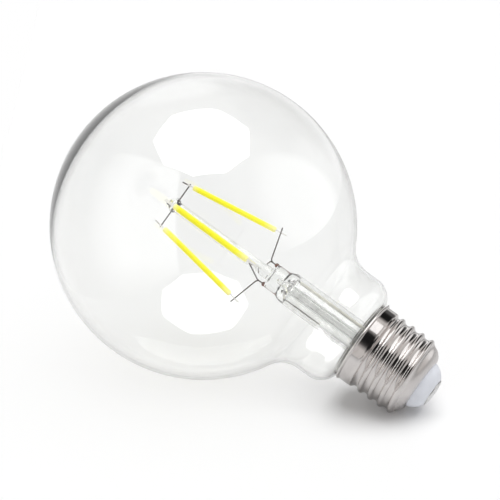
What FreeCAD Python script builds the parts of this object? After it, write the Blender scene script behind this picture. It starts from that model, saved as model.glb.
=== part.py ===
import FreeCAD, Part
import Sketcher
import math
import os

# A clear globe filament lamp with a screw cap, cap down, in millimetres.
# The origin is the lowest point of the centre contact, +Z runs up the lamp's axis,
# -Y is the front, where one filament faces the viewer.

doc = FreeCAD.newDocument("globe_bulb")
sizes = doc.addObject("Spreadsheet::Sheet", "sizes")

SIZES = (
    ("globe_diameter", 95.0, "outside of the blown globe"),
    ("glass_wall", 0.8, "wall of the blown glass"),
    ("crown_wall", 1.9, "thicker glass at the crown of the globe"),
    ("crown_spread", 66.0, "thicker crown across the globe"),
    ("neck_diameter", 36.4, "outside of the neck"),
    ("neck_length", 4.0, "straight part of the neck"),
    ("neck_fillet", 9.0, "hollow curve between globe and neck"),
    ("neck_shoulder", 7.0, "rounded shoulder from the neck in to the cap"),
    ("shoulder_gap", 0.1, "glass shoulder above the cap's rim"),
    ("seat_depth", 6.4, "length of the glass seat inside the cap"),
    ("seat_clearance", 0.75, "glass seat to the inside of the thread, room for the side wire"),
    ("cap_length", 27.4, "centre contact to the top of the cap's rim"),
    ("rim_height", 0.9, "rolled rim of the cap, along the axis"),
    ("rim_band", 0.3, "outermost band of the rolled rim"),
    ("rim_overhang", 0.4, "rolled rim beyond the skirt"),
    ("skirt_length", 3.2, "plain cylinder between rim and thread"),
    ("skirt_relief", 0.05, "skirt beyond the thread's crest"),
    ("shell_wall", 0.3, "sheet metal of the cap"),
    ("thread_root_diameter", 24.1, "bottom of the screw thread"),
    ("thread_depth", 1.0, "root to crest"),
    ("thread_pitch", 3.629, "lead of the knuckle thread"),
    ("thread_foot_width", 2.8, "width of the thread at its root"),
    ("thread_crest_width", 0.9, "width of the thread at its crest"),
    ("thread_first_crest", 9.8, "height of the lowest full crest on the +X side"),
    ("thread_sink", 1.45, "how far the thread sinks into the dome at its run-out"),
    ("dome_radius", 4.7, "round of the cap below the thread"),
    ("dome_inner_rise", 1.2, "inside of the dome, from the hole's edge up to the collar"),
    ("lip_diameter", 15.8, "hole in the cap that the insulator fills"),
    ("lip_height", 4.9, "height of that hole's edge"),
    ("tip_diameter", 9.2, "lower end of the insulator"),
    ("tip_height", 0.8, "height of the insulator's lower end"),
    ("insulator_round", 6.5, "round of the insulator's cone"),
    ("insulator_floor", 6.4, "height of the insulator's floor inside the cap"),
    ("collar_height", 3.0, "collar on that floor, which carries the driver board"),
    ("collar_width", 1.4, "wall of the collar"),
    ("collar_overlap", 1.1, "collar beyond the hole's edge"),
    ("contact_margin", 0.2, "insulator beyond the centre contact"),
    ("contact_edge", 0.3, "thickness of the centre contact at its edge"),
    ("contact_stem_diameter", 2.4, "rivet of the centre contact"),
    ("cement_inset", 0.3, "cement above the lower end of the skirt"),
    ("notch_width", 1.6, "notch in the rim for the side wire's solder"),
    ("notch_depth", 0.8, "depth of that notch from the top of the rim"),
    ("solder_proud", 0.35, "solder beyond the rim"),
    ("stem_diameter", 10.4, "glass tube of the stem"),
    ("stem_wall", 1.0, "wall of that tube"),
    ("stem_length", 41.2, "seal to the top of the press"),
    ("flare_height", 5.0, "height of the flare above the seal"),
    ("press_length", 4.5, "flattened part of the stem"),
    ("press_taper", 2.5, "change from round tube to flat press"),
    ("press_width", 8.3, "press across the lead wires"),
    ("press_thickness", 4.8, "press from front to back"),
    ("crown_height", 1.5, "closing of the tube under the press"),
    ("crown_diameter", 4.4, "flat at the top of the tube's bore"),
    ("exhaust_diameter", 3.2, "exhaust tube inside the stem"),
    ("exhaust_wall", 0.6, "wall of the exhaust tube"),
    ("exhaust_drop", 6.0, "sealed tip of the exhaust tube below the glass seal"),
    ("exhaust_hole", 1.2, "hole through the press that the exhaust tube opens into"),
    ("post_diameter", 3.5, "glass rod that carries the filaments"),
    ("post_length", 37.3, "top of the press to the middle of the bead"),
    ("post_foot_diameter", 4.6, "spread foot of the rod on the press"),
    ("post_foot_height", 5.0, "height over which the foot narrows to the rod"),
    ("bead_diameter", 4.9, "bead on the rod that holds the support wires"),
    ("bead_height", 2.4, "bead along the axis"),
    ("bead_band", 1.6, "widest band of the bead"),
    ("bead_crown", 0.6, "rounded end of the rod above the bead"),
    ("wire_step", 0.7, "height between the two crossing support wires"),
    ("wire_diameter", 0.4, "lead, support and branch wires"),
    ("wire_bend", 1.3, "bend radius of those wires"),
    ("wire_overrun", 0.6, "support wire's end beyond the weld"),
    ("branch_overrun", 1.6, "branch wire's end beyond the weld"),
    ("weld_gap", 0.02, "wire to the part it is welded to"),
    ("lead_spacing", 7.0, "distance between the two lead wires"),
    ("lead_rise", 2.4, "lead wire above the press before its bend"),
    ("branch_start", 0.3, "foot of the second branch above the press"),
    ("seal_length", 4.5, "copper-clad seal wire in the press"),
    ("seal_inset", 1.2, "end of the seal wire below the top of the press"),
    ("sleeve_diameter", 1.1, "insulating sleeve on a lead wire"),
    ("sleeve_clearance", 0.05, "sleeve to its wire, on the radius"),
    ("sleeve_foot", 1.0, "lower end of a sleeve above the board"),
    ("long_sleeve_gap", 0.6, "top of the +X lead's sleeve below the tube's closing"),
    ("short_sleeve_gap", 13.1, "top of the -X lead's sleeve below the tube's closing"),
    ("coat_length", 29.1, "luminous length of a filament"),
    ("coat_width", 1.9, "filament across its broad face"),
    ("coat_thickness", 1.7, "filament through its thickness"),
    ("strip_width", 0.9, "carrier strip of a filament"),
    ("strip_thickness", 0.4, "thickness of that strip"),
    ("tab_length", 3.7, "bare metal end of the strip"),
    ("filament_drop", 1.8, "luminous top below the middle of the bead"),
    ("filament_top_radius", 7.8, "luminous top from the axis"),
    ("filament_foot_radius", 12.1, "luminous foot from the axis"),
    ("board_thickness", 1.0, "driver board"),
    ("board_clearance", 2.1, "edge of the board to the cap"),
    ("pad_inset", 0.8, "side wire's pad from the board's edge"),
    ("side_wire_clearance", 0.075, "side wire to glass and cap"),
    ("side_wire_rise", 1.8, "side wire's upright start on the board"),
    ("side_wire_slope", 3.2, "height over which the side wire leans out"),
    ("live_wire_diameter", 0.7, "wire between centre contact and board"),
    ("capacitor_diameter", 6.3, "smoothing capacitor"),
    ("capacitor_height", 6.5, "height of the capacitor"),
    ("capacitor_offset", 5.8, "capacitor's axis from the lamp's axis"),
    ("capacitor_groove", 0.3, "depth of the crimp groove round the capacitor"),
    ("groove_height", 1.2, "middle of that groove above the board"),
    ("fuse_diameter", 2.8, "fusible resistor"),
    ("fuse_length", 7.0, "length of the fusible resistor"),
    ("fuse_cap", 1.0, "end cap of the fusible resistor"),
    ("fuse_waist", 0.2, "body below its end caps"),
    ("fuse_offset", 5.6, "fusible resistor's axis from the lamp's axis"),
    ("bridge_length", 4.7, "bridge rectifier"),
    ("chip_length", 4.9, "driver chip"),
    ("package_width", 3.8, "width of rectifier and chip"),
    ("package_height", 1.5, "height of rectifier and chip"),
    ("package_offset", 3.4, "middle of rectifier and chip from the lamp's axis"),
    ("resistor_length", 3.2, "sense resistor"),
    ("resistor_width", 1.6, "width of the sense resistor"),
    ("resistor_height", 0.6, "height of the sense resistor"),
    ("resistor_offset", 6.6, "middle of the sense resistor from the lamp's axis"),
)

for row, (alias, size, note) in enumerate(SIZES, start=1):
    sizes.set("A%d" % row, "'" + note)
    sizes.set("B%d" % row, str(size))
    sizes.setAlias("B%d" % row, alias)
doc.recompute()

# Radii and heights that several pieces share, as expressions of the sheet
GLOBE_R = "(sizes.globe_diameter / 2)"
NECK_R = "(sizes.neck_diameter / 2)"
ROOT_R = "(sizes.thread_root_diameter / 2)"
CREST_R = f"({ROOT_R} + sizes.thread_depth)"
SKIRT_R = f"({CREST_R} + sizes.skirt_relief)"
RIM_R = f"({SKIRT_R} + sizes.rim_overhang)"
ROOT_BORE = f"({ROOT_R} - sizes.shell_wall)"
SKIRT_BORE = f"({SKIRT_R} - sizes.shell_wall)"
SEAT_R = f"({ROOT_BORE} - sizes.seat_clearance)"
SEAT_BORE = f"({SEAT_R} - sizes.glass_wall)"
LIP_R = "(sizes.lip_diameter / 2)"
COLLAR_R = f"({LIP_R} + sizes.collar_overlap)"
TIP_R = "(sizes.tip_diameter / 2)"
STEM_R = "(sizes.stem_diameter / 2)"
STEM_BORE = f"({STEM_R} - sizes.stem_wall)"
EXHAUST_R = "(sizes.exhaust_diameter / 2)"
POST_R = "(sizes.post_diameter / 2)"
WIRE_R = "(sizes.wire_diameter / 2)"
LEAD_X = "(sizes.lead_spacing / 2)"

RIM_FOOT = "(sizes.cap_length - sizes.rim_height)"
SKIRT_FOOT = f"({RIM_FOOT} - sizes.skirt_length)"
THREAD_TOP = f"({SKIRT_FOOT} - sizes.thread_depth)"
DOME_TOP = "(sizes.lip_height + sizes.dome_radius)"
COLLAR_FOOT = "(sizes.lip_height + sizes.shell_wall + sizes.dome_inner_rise)"
SEAL_Z = "(sizes.cap_length - sizes.seat_depth)"
SHOULDER_Z = "(sizes.cap_length + sizes.shoulder_gap + sizes.neck_shoulder)"
NOTCH_FOOT = "(sizes.cap_length - sizes.notch_depth)"
BOARD_FOOT = "(sizes.insulator_floor + sizes.collar_height)"
BOARD_TOP = f"({BOARD_FOOT} + sizes.board_thickness)"
PRESS_TOP = f"({SEAL_Z} + sizes.stem_length)"
PRESS_FOOT = f"({PRESS_TOP} - sizes.press_length)"
TUBE_TOP = f"({PRESS_FOOT} - sizes.press_taper)"
CROWN_FOOT = f"({TUBE_TOP} - sizes.crown_height)"
SEAL_WIRE_TOP = f"({PRESS_TOP} - sizes.seal_inset)"
SEAL_WIRE_FOOT = f"({SEAL_WIRE_TOP} - sizes.seal_length)"
BEAD_Z = f"({PRESS_TOP} + sizes.post_length)"

# A filament leans outwards towards its foot, and its tabs run on in the same line
LEAN = "asin((sizes.filament_foot_radius - sizes.filament_top_radius) / sizes.coat_length)"
COAT_TOP = f"({BEAD_Z} - sizes.filament_drop)"
COAT_FOOT = f"({COAT_TOP} - sizes.coat_length * cos({LEAN}))"
TAB_SIDE = f"(sizes.strip_width / 2 + {WIRE_R} + sizes.weld_gap)"
FOOT_WELD_R = f"(sizes.filament_foot_radius + sizes.tab_length / 2 * sin({LEAN}))"
FOOT_WELD_Z = f"({COAT_FOOT} - sizes.tab_length / 2 * cos({LEAN}))"

sub_parts = []


def number(expression):
    """Present value of an expression of the sheet, for a sketch's first layout."""
    return float(sizes.evalExpression(expression))


def keep(piece, label):
    """Name a finished sub-part and list it for export."""
    piece.Label = label
    sub_parts.append(piece)
    return piece


def place(piece, x="0", y="0", z="0", turn="0", inner="rotationz(0)"):
    """Put a piece at x, y, z with its own turn, and swing the whole about the lamp's axis."""
    swing = f"placement(vector(0; 0; 0); rotationz({turn}))"
    piece.setExpression("Placement", f"{swing} * placement(vector({x}; {y}; {z}); {inner})")


def sketch_on(body, name, role):
    """New sketch on one of the body's own origin planes."""
    sketch = body.newObject("Sketcher::SketchObject", name)
    plane = [feature for feature in body.Origin.OriginFeatures if feature.Role == role][0]
    sketch.AttachmentSupport = [(plane, "")]
    sketch.MapMode = "FlatFace"
    return sketch


def bind(sketch, constraint, expression):
    """Add a dimension to a sketch and tie it to the sheet."""
    index = sketch.addConstraint(constraint)
    sketch.setExpression("Constraints[%d]" % index, expression)


def pin(sketch, geometry, end, x, y):
    """Tie one end of a sketch line to two expressions."""
    for kind, axis, expression in (("DistanceX", -2, x), ("DistanceY", -1, y)):
        if expression == "0":
            sketch.addConstraint(Sketcher.Constraint("PointOnObject", geometry, end, axis))
        else:
            rule = Sketcher.Constraint(kind, -1, 1, geometry, end, number(expression))
            bind(sketch, rule, expression)


def arc_between(start, end, radius, side):
    """Arc from start to end with its centre to the left (1) or right (-1) of the way."""
    chord = end - start
    left = FreeCAD.Vector(-chord.y, chord.x, 0).normalize()
    offset = math.sqrt(radius ** 2 - chord.Length ** 2 / 4)
    centre = start + chord * 0.5 + left * offset * side
    first, last = (start, end) if side > 0 else (end, start)
    first_angle = math.atan2(first.y - centre.y, first.x - centre.x)
    last_angle = math.atan2(last.y - centre.y, last.x - centre.x)
    circle = Part.Circle(centre, FreeCAD.Vector(0, 0, 1), radius)
    return Part.ArcOfCircle(circle, first_angle, last_angle)


def outline(sketch, corners):
    """Closed outline. A corner is (x, y), or (x, y, radius, side) where an arc leaves it."""
    count = len(corners)
    points = [FreeCAD.Vector(number(corner[0]), number(corner[1]), 0) for corner in corners]
    ends = []
    base = sketch.GeometryCount
    for index, corner in enumerate(corners):
        start, end = points[index], points[(index + 1) % count]
        if len(corner) == 2:
            sketch.addGeometry(Part.LineSegment(start, end), False)
            ends.append((1, 2))
        else:
            radius, side = corner[2:]
            sketch.addGeometry(arc_between(start, end, number(radius), side), False)
            ends.append((1, 2) if side > 0 else (2, 1))
    for index, corner in enumerate(corners):
        here, after = base + index, base + (index + 1) % count
        next_start = ends[(index + 1) % count][0]
        sketch.addConstraint(Sketcher.Constraint("Coincident", here, ends[index][1], after, next_start))
        pin(sketch, here, ends[index][0], corner[0], corner[1])
        if len(corner) == 4:
            bind(sketch, Sketcher.Constraint("Radius", here, number(corner[2])), corner[2])


def turned(body, name, corners, kind="PartDesign::Revolution"):
    """Turn an outline of radius and height about the body's Z axis."""
    sketch = sketch_on(body, name + "_outline", "XZ_Plane")
    outline(sketch, corners)
    feature = body.newObject(kind, name)
    feature.Profile = sketch
    feature.ReferenceAxis = (sketch, ["V_Axis"])
    feature.Angle = 360
    return feature


def turned_piece(label, corners):
    """A sub-part that is one turned solid."""
    body = doc.addObject("PartDesign::Body", label)
    turned(body, label + "_turned", corners)
    return body


def tube_corners(bore, radius, low, high):
    """Outline of a plain tube."""
    return [(bore, low), (radius, low), (radius, high), (bore, high)]


def rod(name, radius, length):
    """Plain round rod along its own Z."""
    cylinder = doc.addObject("Part::Cylinder", name)
    cylinder.setExpression("Radius", radius)
    cylinder.setExpression("Height", length)
    return cylinder


def block(name, length, width, height):
    """Plain block from its own origin."""
    box = doc.addObject("Part::Box", name)
    box.setExpression("Length", length)
    box.setExpression("Width", width)
    box.setExpression("Height", height)
    return box


def cut(name, base, tools):
    """Base less all tools."""
    for index, tool in enumerate(tools):
        result = doc.addObject("Part::Cut", "%s_cut_%d" % (name, index + 1))
        result.Base = base
        result.Tool = tool
        base = result
    return base


def bent_wire(label, corners, diameter):
    """Round wire that leaves its own origin upwards and follows corners in its XZ plane."""
    body = doc.addObject("PartDesign::Body", label)
    route = sketch_on(body, label + "_route", "XZ_Plane")
    points = [FreeCAD.Vector(number(x), number(z), 0) for x, z in corners]
    last = len(points) - 2
    for start, end in zip(points, points[1:]):
        route.addGeometry(Part.LineSegment(start, end), False)
    for index in range(last):
        route.addConstraint(Sketcher.Constraint("Coincident", index, 2, index + 1, 1))
    for index, (x, z) in enumerate(corners):
        pin(route, min(index, last), 1 if index <= last else 2, x, z)
    for index in range(last):
        before = (points[index] + points[index + 1]) * 0.5
        after = (points[index + 1] + points[index + 2]) * 0.5
        route.fillet(index, index + 1, before, after, number("sizes.wire_bend"), True, True)
    for index, line in enumerate(route.Geometry):
        if isinstance(line, Part.ArcOfCircle):
            bind(route, Sketcher.Constraint("Radius", index, line.Radius), "sizes.wire_bend")
    section = sketch_on(body, label + "_section", "XY_Plane")
    circle = Part.Circle(FreeCAD.Vector(0, 0, 0), FreeCAD.Vector(0, 0, 1), number(diameter) / 2)
    section.addGeometry(circle, False)
    section.addConstraint(Sketcher.Constraint("Coincident", 0, 3, -1, 1))
    bind(section, Sketcher.Constraint("Diameter", 0, number(diameter)), diameter)
    pipe = body.newObject("PartDesign::AdditivePipe", label + "_pipe")
    pipe.Profile = section
    pipe.Spine = route
    return body


# Blown glass: globe with a thicker crown, hollow curve, neck, shoulder and seat, open at the foot
def glass_envelope():
    wall = "sizes.glass_wall"
    hollow_x = f"({NECK_R} + sizes.neck_fillet)"
    hollow_reach = f"({GLOBE_R} + sizes.neck_fillet)"
    hollow_drop = f"sqrt({hollow_reach} ^ 2 - {hollow_x} ^ 2)"
    hollow_z = f"({SHOULDER_Z} + sizes.neck_length)"
    globe_z = f"({hollow_z} + {hollow_drop})"
    crown_z = f"({globe_z} + {GLOBE_R})"
    globe_bore = f"({GLOBE_R} - {wall})"
    spread = "(sizes.crown_spread / 2)"
    spread_z = f"sqrt({globe_bore} ^ 2 - {spread} ^ 2)"
    crown_rise = f"({GLOBE_R} - sizes.crown_wall - {spread_z})"
    crown_bore = f"(({spread} ^ 2 + {crown_rise} ^ 2) / (2 * {crown_rise}))"
    neck_bore = f"({NECK_R} - {wall})"
    shoulder_bore = f"(sizes.neck_shoulder - {wall})"
    seat_reach = f"({SEAT_R} - {NECK_R} + sizes.neck_shoulder)"
    seat_top = f"({SHOULDER_Z} - sqrt(sizes.neck_shoulder ^ 2 - {seat_reach} ^ 2))"
    seat_bore_top = f"({SHOULDER_Z} - sqrt({shoulder_bore} ^ 2 - ({seat_reach} - {wall}) ^ 2))"

    def on_globe(radius):
        share = f"{radius} / {hollow_reach}"
        return f"{hollow_x} * {share}", f"{globe_z} - {hollow_drop} * {share}"

    return turned_piece("glass_envelope", [
        ("0", crown_z, GLOBE_R, -1),
        (*on_globe(GLOBE_R), "sizes.neck_fillet", 1),
        (NECK_R, hollow_z),
        (NECK_R, SHOULDER_Z, "sizes.neck_shoulder", -1),
        (SEAT_R, seat_top),
        (SEAT_R, SEAL_Z),
        (SEAT_BORE, SEAL_Z),
        (SEAT_BORE, seat_bore_top, shoulder_bore, 1),
        (neck_bore, SHOULDER_Z),
        (neck_bore, hollow_z, f"(sizes.neck_fillet + {wall})", -1),
        (*on_globe(globe_bore), globe_bore, 1),
        (spread, f"{globe_z} + {spread_z}", crown_bore, 1),
        ("0", f"{crown_z} - sizes.crown_wall"),
    ])


# Stem: flared tube, flattened at its top into the press that holds the lead wires
def stem_flare():
    tube = turned_piece("stem_tube", [
        ("sizes.crown_diameter / 2", TUBE_TOP),
        (STEM_BORE, CROWN_FOOT),
        (STEM_BORE, f"{SEAL_Z} + sizes.flare_height"),
        (SEAT_BORE, f"{SEAL_Z} - sizes.stem_wall"),
        (SEAT_R, f"{SEAL_Z} - sizes.stem_wall"),
        (SEAT_R, SEAL_Z),
        (SEAT_BORE, SEAL_Z),
        (STEM_R, f"{SEAL_Z} + sizes.flare_height"),
        (STEM_R, TUBE_TOP),
    ])
    ring = doc.addObject("Part::Circle", "press_ring")
    ring.setExpression("Radius", STEM_R)
    place(ring, z=TUBE_TOP)
    sections = [ring]
    for name, height in (("press_foot", PRESS_FOOT), ("press_top", PRESS_TOP)):
        oval = doc.addObject("Part::Ellipse", name)
        oval.setExpression("MajorRadius", "sizes.press_width / 2")
        oval.setExpression("MinorRadius", "sizes.press_thickness / 2")
        place(oval, z=height)
        sections.append(oval)
    press = doc.addObject("Part::Loft", "press")
    press.Sections = sections
    press.Solid = True
    press.Ruled = True
    stem = doc.addObject("Part::Fuse", "stem_blank")
    stem.Base = tube
    stem.Tool = press
    holes = []
    for name, side in (("right_lead_hole", "1"), ("left_lead_hole", "-1")):
        hole = rod(name, WIRE_R, f"{PRESS_TOP} - {CROWN_FOOT} + sizes.wire_diameter")
        place(hole, x=f"{side} * {LEAD_X}", z=CROWN_FOOT)
        holes.append(hole)
    exhaust_z = f"({PRESS_FOOT} + sizes.exhaust_hole)"
    rising = rod("exhaust_rise", "sizes.exhaust_hole / 2", f"{exhaust_z} - {TUBE_TOP}")
    place(rising, z=TUBE_TOP)
    outlet = rod("exhaust_outlet", "sizes.exhaust_hole / 2", "sizes.stem_diameter")
    place(outlet, z=exhaust_z, inner="rotationx(90)")
    return cut("stem", stem, holes + [rising, outlet])


# Exhaust tube, drawn out and closed at its lower tip
def exhaust_tube():
    tip = f"({SEAL_Z} - sizes.exhaust_drop)"
    bore = f"({EXHAUST_R} - sizes.exhaust_wall)"
    return turned_piece("exhaust_tube", [
        ("0", tip),
        (f"{EXHAUST_R} / 2", tip),
        (EXHAUST_R, f"{tip} + {EXHAUST_R}"),
        (EXHAUST_R, TUBE_TOP),
        (bore, TUBE_TOP),
        (bore, f"{tip} + {EXHAUST_R}"),
        ("0", f"{tip} + {EXHAUST_R} / 2"),
    ])


# Heights of the two support wires that cross in the bead
CROSSINGS = (
    ("side", f"({BEAD_Z} - sizes.wire_step / 2)", TAB_SIDE, "0"),
    ("front", f"({BEAD_Z} + sizes.wire_step / 2)", TAB_SIDE, "90"),
)


def crossing(name, height, aside, turn, reach):
    """Rod across the lamp's axis, beside it by the width of a filament's tab."""
    piece = rod(name, WIRE_R, f"2 * {reach}")
    place(piece, x=f"-{reach}", y=aside, z=height, turn=turn, inner="rotationy(90)")
    return piece


# Glass rod with the bead that the support wires are melted into
def support_post():
    bead_r = "(sizes.bead_diameter / 2)"
    bead_top = f"({BEAD_Z} + sizes.bead_height / 2)"
    blank = turned_piece("post_blank", [
        ("0", PRESS_TOP),
        ("sizes.post_foot_diameter / 2", PRESS_TOP),
        (POST_R, f"{PRESS_TOP} + sizes.post_foot_height"),
        (POST_R, f"{BEAD_Z} - sizes.bead_height / 2"),
        (bead_r, f"{BEAD_Z} - sizes.bead_band / 2"),
        (bead_r, f"{BEAD_Z} + sizes.bead_band / 2"),
        (POST_R, bead_top),
        (f"{POST_R} / 2", f"{bead_top} + sizes.bead_crown"),
        ("0", f"{bead_top} + sizes.bead_crown"),
    ])
    holes = []
    for name, height, aside, turn in CROSSINGS:
        holes.append(crossing(name + "_wire_hole", height, aside, turn, "sizes.bead_diameter"))
    return cut("post", blank, holes)


# Support wires: each joins two opposite filaments at their tops
def support_wires():
    for name, height, aside, turn in CROSSINGS:
        tab_r = f"(sizes.filament_top_radius - ({height} - {COAT_TOP}) * tan({LEAN}))"
        reach = f"({tab_r} + sizes.wire_overrun)"
        keep(crossing(name + "_support", height, aside, turn, reach), name + "_support_wire")


# Filaments: a metal carrier strip with bare tabs, in a luminous coat
def filaments():
    middle_r = "((sizes.filament_top_radius + sizes.filament_foot_radius) / 2)"
    middle_z = f"(({COAT_TOP} + {COAT_FOOT}) / 2)"
    strip_length = "(sizes.coat_length + 2 * sizes.tab_length)"
    for side, turn in (("right", "0"), ("back", "90"), ("left", "180"), ("front", "270")):
        lean = f"rotationy(-{LEAN})"
        coat = doc.addObject("PartDesign::Body", side + "_coat")
        section = sketch_on(coat, side + "_coat_section", "XY_Plane")
        half_x = "(sizes.coat_thickness / 2)"
        flat = "((sizes.coat_width - sizes.coat_thickness) / 2)"
        outline(section, [
            (half_x, f"-{flat}"),
            (half_x, flat, half_x, 1),
            ("0", "sizes.coat_width / 2", half_x, 1),
            (f"-{half_x}", flat),
            (f"-{half_x}", f"-{flat}", half_x, 1),
            ("0", "-sizes.coat_width / 2", half_x, 1),
        ])
        strip_x, strip_y = "(sizes.strip_thickness / 2)", "(sizes.strip_width / 2)"
        outline(section, [
            (strip_x, f"-{strip_y}"),
            (strip_x, strip_y),
            (f"-{strip_x}", strip_y),
            (f"-{strip_x}", f"-{strip_y}"),
        ])
        pad = coat.newObject("PartDesign::Pad", side + "_coat_pad")
        pad.Profile = section
        pad.Midplane = True
        pad.setExpression("Length", "sizes.coat_length")
        place(coat, x=middle_r, z=middle_z, turn=turn, inner=lean)
        keep(coat, side + "_filament_coat")
        strip = block(side + "_strip", "sizes.strip_thickness", "sizes.strip_width", strip_length)
        corner = f"placement(vector(-{strip_x}; -{strip_y}; -{strip_length} / 2); rotationz(0))"
        swing = f"placement(vector(0; 0; 0); rotationz({turn}))"
        lean_at = f"placement(vector({middle_r}; 0; {middle_z}); {lean})"
        strip.setExpression("Placement", f"{swing} * {lean_at} * {corner}")
        keep(strip, side + "_filament_strip")


# Lead wires: outer lead, seal wire in the press, then two branches that feed two filaments
def lead_wires():
    bend_z = f"({PRESS_TOP} + sizes.lead_rise)"
    pair = "(sizes.wire_diameter + sizes.weld_gap)"
    second_z = f"({PRESS_TOP} + sizes.branch_start)"
    for side, turn, near, far, sleeve_gap in (
        ("right", "0", "right", "back", "sizes.long_sleeve_gap"),
        ("left", "180", "left", "front", "sizes.short_sleeve_gap"),
    ):
        outer = rod(side + "_outer", WIRE_R, f"{SEAL_WIRE_FOOT} - {BOARD_TOP}")
        place(outer, x=LEAD_X, z=BOARD_TOP, turn=turn)
        keep(outer, side + "_outer_lead")
        seal = rod(side + "_seal", WIRE_R, "sizes.seal_length")
        place(seal, x=LEAD_X, z=SEAL_WIRE_FOOT, turn=turn)
        keep(seal, side + "_seal_wire")
        bore = f"({WIRE_R} + sizes.sleeve_clearance)"
        sleeve_r = "(sizes.sleeve_diameter / 2)"
        sleeve_foot = f"({BOARD_TOP} + sizes.sleeve_foot)"
        sleeve_length = f"({CROWN_FOOT} - {sleeve_gap} - {sleeve_foot})"
        tube = turned_piece(side + "_tube", tube_corners(bore, sleeve_r, "0", sleeve_length))
        place(tube, x=LEAD_X, z=sleeve_foot, turn=turn)
        keep(tube, side + "_lead_sleeve")
        # a branch meets its tab at a slant, so it passes the tab's edge a little further off
        near_slant = f"({TAB_SIDE} / ({FOOT_WELD_R} - {LEAD_X}))"
        far_slant = f"(({LEAD_X} - {TAB_SIDE}) / {FOOT_WELD_R})"
        near_side = f"({TAB_SIDE} + sizes.strip_thickness * {near_slant})"
        far_side = f"({TAB_SIDE} + sizes.strip_thickness * {far_slant})"
        routes = (
            (near, "0", SEAL_WIRE_TOP, f"({FOOT_WELD_R} - {LEAD_X})", f"-{near_side}"),
            (far, pair, second_z, f"({far_side} - {LEAD_X})", f"({FOOT_WELD_R} - {pair})"),
        )
        for filament, foot_y, foot_z, along, across in routes:
            weld = f"sqrt({along} ^ 2 + {across} ^ 2)"
            reach = f"({weld} + sizes.branch_overrun)"
            rise = f"({bend_z} - {foot_z})"
            tip = f"({rise} + ({FOOT_WELD_Z} - {bend_z}) * {reach} / {weld})"
            corners = [("0", "0"), ("0", rise), (reach, tip)]
            wire = bent_wire(filament + "_branch", corners, "sizes.wire_diameter")
            plan = f"rotationz(atan2({across}; {along}))"
            place(wire, x=LEAD_X, y=foot_y, z=foot_z, turn=turn, inner=plan)
            keep(wire, filament + "_branch_wire")


# The thread runs out into the dome over half a turn, from the -X side to the +X side
RUN_OUT_TURNS = 0.5


def thread_ridge(sketch, side, sink, middle):
    """Section of the thread on the +X (1) or -X (-1) side, sunk below its full height."""
    corners = []
    for height, half in (
        ("-sizes.thread_depth / 2", "sizes.thread_foot_width / 2"),
        ("0", "sizes.thread_foot_width / 2"),
        ("sizes.thread_depth", "sizes.thread_crest_width / 2"),
    ):
        reach = f"{side} * ({ROOT_R} + {height} - {sink})"
        corners.insert(0, (reach, f"{middle} + {half}"))
        corners.append((reach, f"{middle} - {half}"))
    outline(sketch, corners)


# Cap: drawn and rolled sheet metal with a rim, a skirt, a knuckle thread and a dome
def screw_shell():
    body = doc.addObject("PartDesign::Body", "shell_blank")
    turned(body, "shell_outside", [
        ("0", "sizes.lip_height"),
        (LIP_R, "sizes.lip_height", "sizes.dome_radius", 1),
        (ROOT_R, DOME_TOP),
        (ROOT_R, THREAD_TOP),
        (SKIRT_R, SKIRT_FOOT),
        (SKIRT_R, RIM_FOOT),
        (RIM_R, f"{RIM_FOOT} + (sizes.rim_height - sizes.rim_band) / 2"),
        (RIM_R, f"{RIM_FOOT} + (sizes.rim_height + sizes.rim_band) / 2"),
        (SKIRT_R, "sizes.cap_length"),
        ("0", "sizes.cap_length"),
    ])
    ridge = sketch_on(body, "thread_section", "XZ_Plane")
    thread_ridge(ridge, "1", "0", "sizes.thread_first_crest")
    thread = body.newObject("PartDesign::AdditiveHelix", "thread")
    thread.Profile = ridge
    thread.ReferenceAxis = (ridge, ["V_Axis"])
    thread.Mode = "pitch-height-angle"
    thread.setExpression("Pitch", "sizes.thread_pitch")
    thread.setExpression("Height", f"{SKIRT_FOOT} + sizes.thread_depth - sizes.thread_first_crest")
    low_ridge = sketch_on(body, "run_out_section", "XZ_Plane")
    low_crest = f"(sizes.thread_first_crest - {RUN_OUT_TURNS} * sizes.thread_pitch)"
    thread_ridge(low_ridge, "-1", "sizes.thread_sink", low_crest)
    run_out = body.newObject("PartDesign::AdditiveHelix", "run_out")
    run_out.Profile = low_ridge
    run_out.ReferenceAxis = (low_ridge, ["V_Axis"])
    run_out.Mode = "height-turns-growth"
    run_out.setExpression("Height", f"{RUN_OUT_TURNS} * sizes.thread_pitch")
    run_out.Turns = RUN_OUT_TURNS
    run_out.setExpression("Growth", f"sizes.thread_sink / {RUN_OUT_TURNS}")
    turned(body, "shell_inside", [
        ("0", "0"),
        (LIP_R, "0"),
        (LIP_R, "sizes.lip_height + sizes.shell_wall"),
        (f"({LIP_R} + {ROOT_BORE}) / 2", COLLAR_FOOT),
        (ROOT_BORE, DOME_TOP),
        (ROOT_BORE, THREAD_TOP),
        (SKIRT_BORE, SKIRT_FOOT),
        (SKIRT_BORE, "sizes.cap_length + sizes.rim_height"),
        ("0", "sizes.cap_length + sizes.rim_height"),
    ], "PartDesign::Groove")
    notch_length = f"{RIM_R} + sizes.rim_height - {SEAT_R}"
    notch = block("rim_notch", notch_length, "sizes.notch_width", "2 * sizes.notch_depth")
    place(notch, x=SEAT_R, y="-sizes.notch_width / 2", z=NOTCH_FOOT)
    return cut("shell", body, [notch])


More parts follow.
